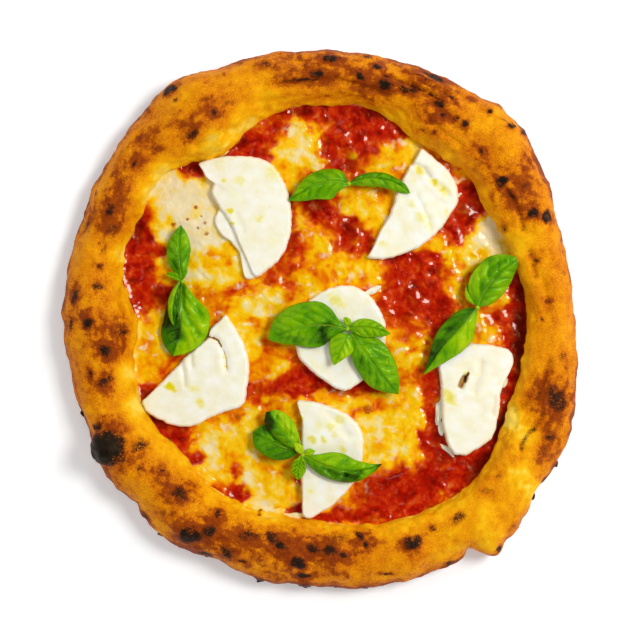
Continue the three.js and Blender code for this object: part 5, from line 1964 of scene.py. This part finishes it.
# The shreds take a light painted shade all over, through the fold mask.
CURD_SHREDS = Bits((
    (68.2, -54, 6.8, 6.5, 2, 1.3, 86), (69.4, -62, 6.8, 4.6, 1.6, 1, 100),
    (73.2, -75.4, 6.8, 4.4, 1.4, 1, -44), (78.4, 70.4, 7.4, 2.8, 0.9, 0.8, 34),
    (30.4, 16.4, 7.4, 4.4, 1.7, 1.1, 24), (106.2, -36.4, 7.2, 2.8, 1.3, 1, 60),
), (("oil", 0), ("fold", 0.1), ("pit", 0)), seed=63, roughen=0.55)


@dataclass(frozen=True)
class Softbox:
    """A square diffused lamp: where it hangs over the pizza, its side and its power."""

    name: str
    azimuth: float
    elevation: float
    away: float
    side: float
    watts: float

    def hang(self) -> None:
        """Put the lamp in the scene, aimed at the pizza."""
        data = bpy.data.lights.new(self.name, "AREA")
        data.energy = self.watts
        data.size = self.side
        lamp = bpy.data.objects.new(self.name, data)
        azimuth, elevation = math.radians(self.azimuth), math.radians(self.elevation)
        lamp.location = (self.away * math.cos(elevation) * math.cos(azimuth),
                         self.away * math.cos(elevation) * math.sin(azimuth),
                         self.away * math.sin(elevation))
        lamp.rotation_euler = (-lamp.location).to_track_quat("-Z", "Y").to_euler()
        bpy.context.scene.collection.objects.link(lamp)


@dataclass(frozen=True)
class Studio:
    """The plain room: a pale floor, a soft key lamp at the right and weaker lamps all round.

    No lamp hangs straight above, so that the wet surfaces keep their saturated colours from
    there.
    """

    lamps: tuple[Softbox, ...] = (
        Softbox("key", 22.0, 55.0, 1.3, 0.42, 11.4),
        Softbox("fill_left", 160.0, 40.0, 1.5, 0.9, 3.4),
        Softbox("fill_front", 275.0, 42.0, 1.5, 0.9, 3.5),
        Softbox("fill_back", 95.0, 45.0, 1.5, 0.9, 3.0),
    )
    # The floor lies this far, in mm, under the crust, so that they share no plane.
    floor_gap: float = 0.1
    # The floor is this wide, in metres, and made of squares.
    floor_side: float = 24.0
    floor_cells: int = 24
    floor_grain_mm: float = 2.0
    # The floor's glow at two distances, in metres, from the middle of the pizza.
    glow_near: tuple[float, float] = (0.4, 0.2)
    glow_far: tuple[float, float] = (1.9, 0.62)
    # The camera's focal length in mm, and its place in metres.
    lens: float = 85.0
    eye: tuple[float, float, float] = (0.0, -0.0006, 0.872)

    def floor(self) -> None:
        """The pale floor: a sheet lit from below, more so where no lamp reaches it."""
        ticks = np.linspace(-self.floor_side / 2.0, self.floor_side / 2.0, self.floor_cells + 1)
        x, y = np.meshgrid(ticks, ticks)
        corners = np.column_stack([x.ravel() / MM, y.ravel() / MM,
                                   np.full(x.size, -self.floor_gap)])
        quads = grid_quads(np.arange(x.size).reshape(x.shape))
        material, tree, _, (grain,) = blank(
            "matt_acrylic_light_table", (), ((self.floor_grain_mm, 2.0, 0.5, 0.0),))
        place = add(tree, "TexCoord", out="Object")
        tint = add(tree, "ValToRGB", {"Fac": grain}, stops=[(0.3, "#FAFAF9"), (0.7, "#FEFEFD")])
        # The lit sheet glows faintly around the pizza and fades up to the pale of the walls.
        away = add(tree, "VectorMath", {0: place}, operation="LENGTH", out="Value")
        (near, dim), (far, bright) = self.glow_near, self.glow_far
        glow = add(tree, "MapRange", {
            "Value": away, "From Min": near, "From Max": far, "To Min": dim, "To Max": bright})
        shader = add(tree, "BsdfPrincipled", {
            "Base Color": tint, "Roughness": 0.9, "Specular IOR Level": 0.1,
            "Emission Color": srgb("#FFFFFF"), "Emission Strength": glow})
        add(tree, "OutputMaterial", {"Surface": shader})
        nothing = np.zeros((0, 3), dtype=int)
        Surface(corners, quads, nothing).to_object("floor", material)

    def lights(self) -> None:
        """The lamps, and walls that are pale at the floor and fade to a dark ceiling."""
        world = bpy.data.worlds.new("studio_walls")
        world.use_nodes = True
        tree = world.node_tree
        tree.nodes.clear()
        way = add(tree, "TexCoord", out="Generated")
        height = add(tree, "SeparateXYZ", {0: way}, out="Z")
        wall = add(tree, "ValToRGB", {"Fac": height}, stops=[
            (0.0, "#EEEFF0"), (0.28, "#DADBDC"), (0.55, "#808284"), (0.78, "#303030"),
            (1.0, "#202020")])
        light = add(tree, "Background", {"Color": wall})
        add(tree, "OutputWorld", {"Surface": light})
        bpy.context.scene.world = world
        for lamp in self.lamps:
            lamp.hang()

    def camera(self) -> None:
        """The camera, straight above the pizza."""
        data = bpy.data.cameras.new("camera")
        data.lens = self.lens
        data.sensor_width = 36.0
        data.clip_end = 20.0
        camera = bpy.data.objects.new("camera", data)
        camera.location = self.eye
        bpy.context.scene.collection.objects.link(camera)
        bpy.context.scene.camera = camera
        bpy.context.scene.view_settings.view_transform = "Standard"


def settle(piece: Object, finish: Finish, *nodes: str) -> None:
    """Fix a piece to the pizza and hide the model's nodes that it stands for.

    Args:
        piece: the object.
        finish: the record's finish that it shows; not used.
        nodes: names of the model's nodes that it replaces.
    """
    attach(piece, "root")
    if nodes:
        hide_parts(*nodes)
    LOG.info("%s: %d faces", piece.name, len(piece.data.polygons))


def main() -> None:
    """Build the pizza piece by piece, then the room."""
    logging.basicConfig(level=logging.INFO, format="%(name)s %(message)s")
    dough = BakedDough().material()
    sauce = SauceAndMelt().material()
    melted = SauceAndMelt(name="melted_mozzarella_in_oil").material()
    fresh = FreshMozzarella().material()
    leaf = BasilBlade().material()

    crust = Crust().build()
    settle(crust.to_object("crust_skin", dough), Finish.DOUGH, "crust")
    topping = Topping()
    covers = [pool.loop() for pool in POOLS]
    spread = Sauce(topping).build(covers)
    settle(spread.to_object("sauce_layer", sauce), Finish.SAUCE, "tomato_sauce")
    ground = np.concatenate([crust.corners, spread.corners])
    for pool in POOLS:
        piece = pool.build(topping).to_object(pool.name + "_skin", melted)
        settle(piece, Finish.MELTED, pool.name)
    for cut in SLICES:
        settle(cut.build().to_object(cut.name + "_cut", fresh), Finish.FRESH, cut.name)
    for bits, name, stuff, finish in (
            (CHAR_CRUMBS, "char_crumbs", dough, Finish.DOUGH),
            (CHEESE_DRIPS, "cheese_drips", melted, Finish.MELTED),
            (CURD_SHREDS, "curd_shreds", fresh, Finish.FRESH)):
        settle(bits.build(ground).to_object(name, stuff), finish)
    for sprig in SPRIGS:
        settle(sprig.build().to_object(sprig.name + "_leaves", leaf), Finish.BASIL, sprig.name)

    studio = Studio()
    studio.floor()
    studio.lights()
    studio.camera()


if __name__ == "__main__":
    main()
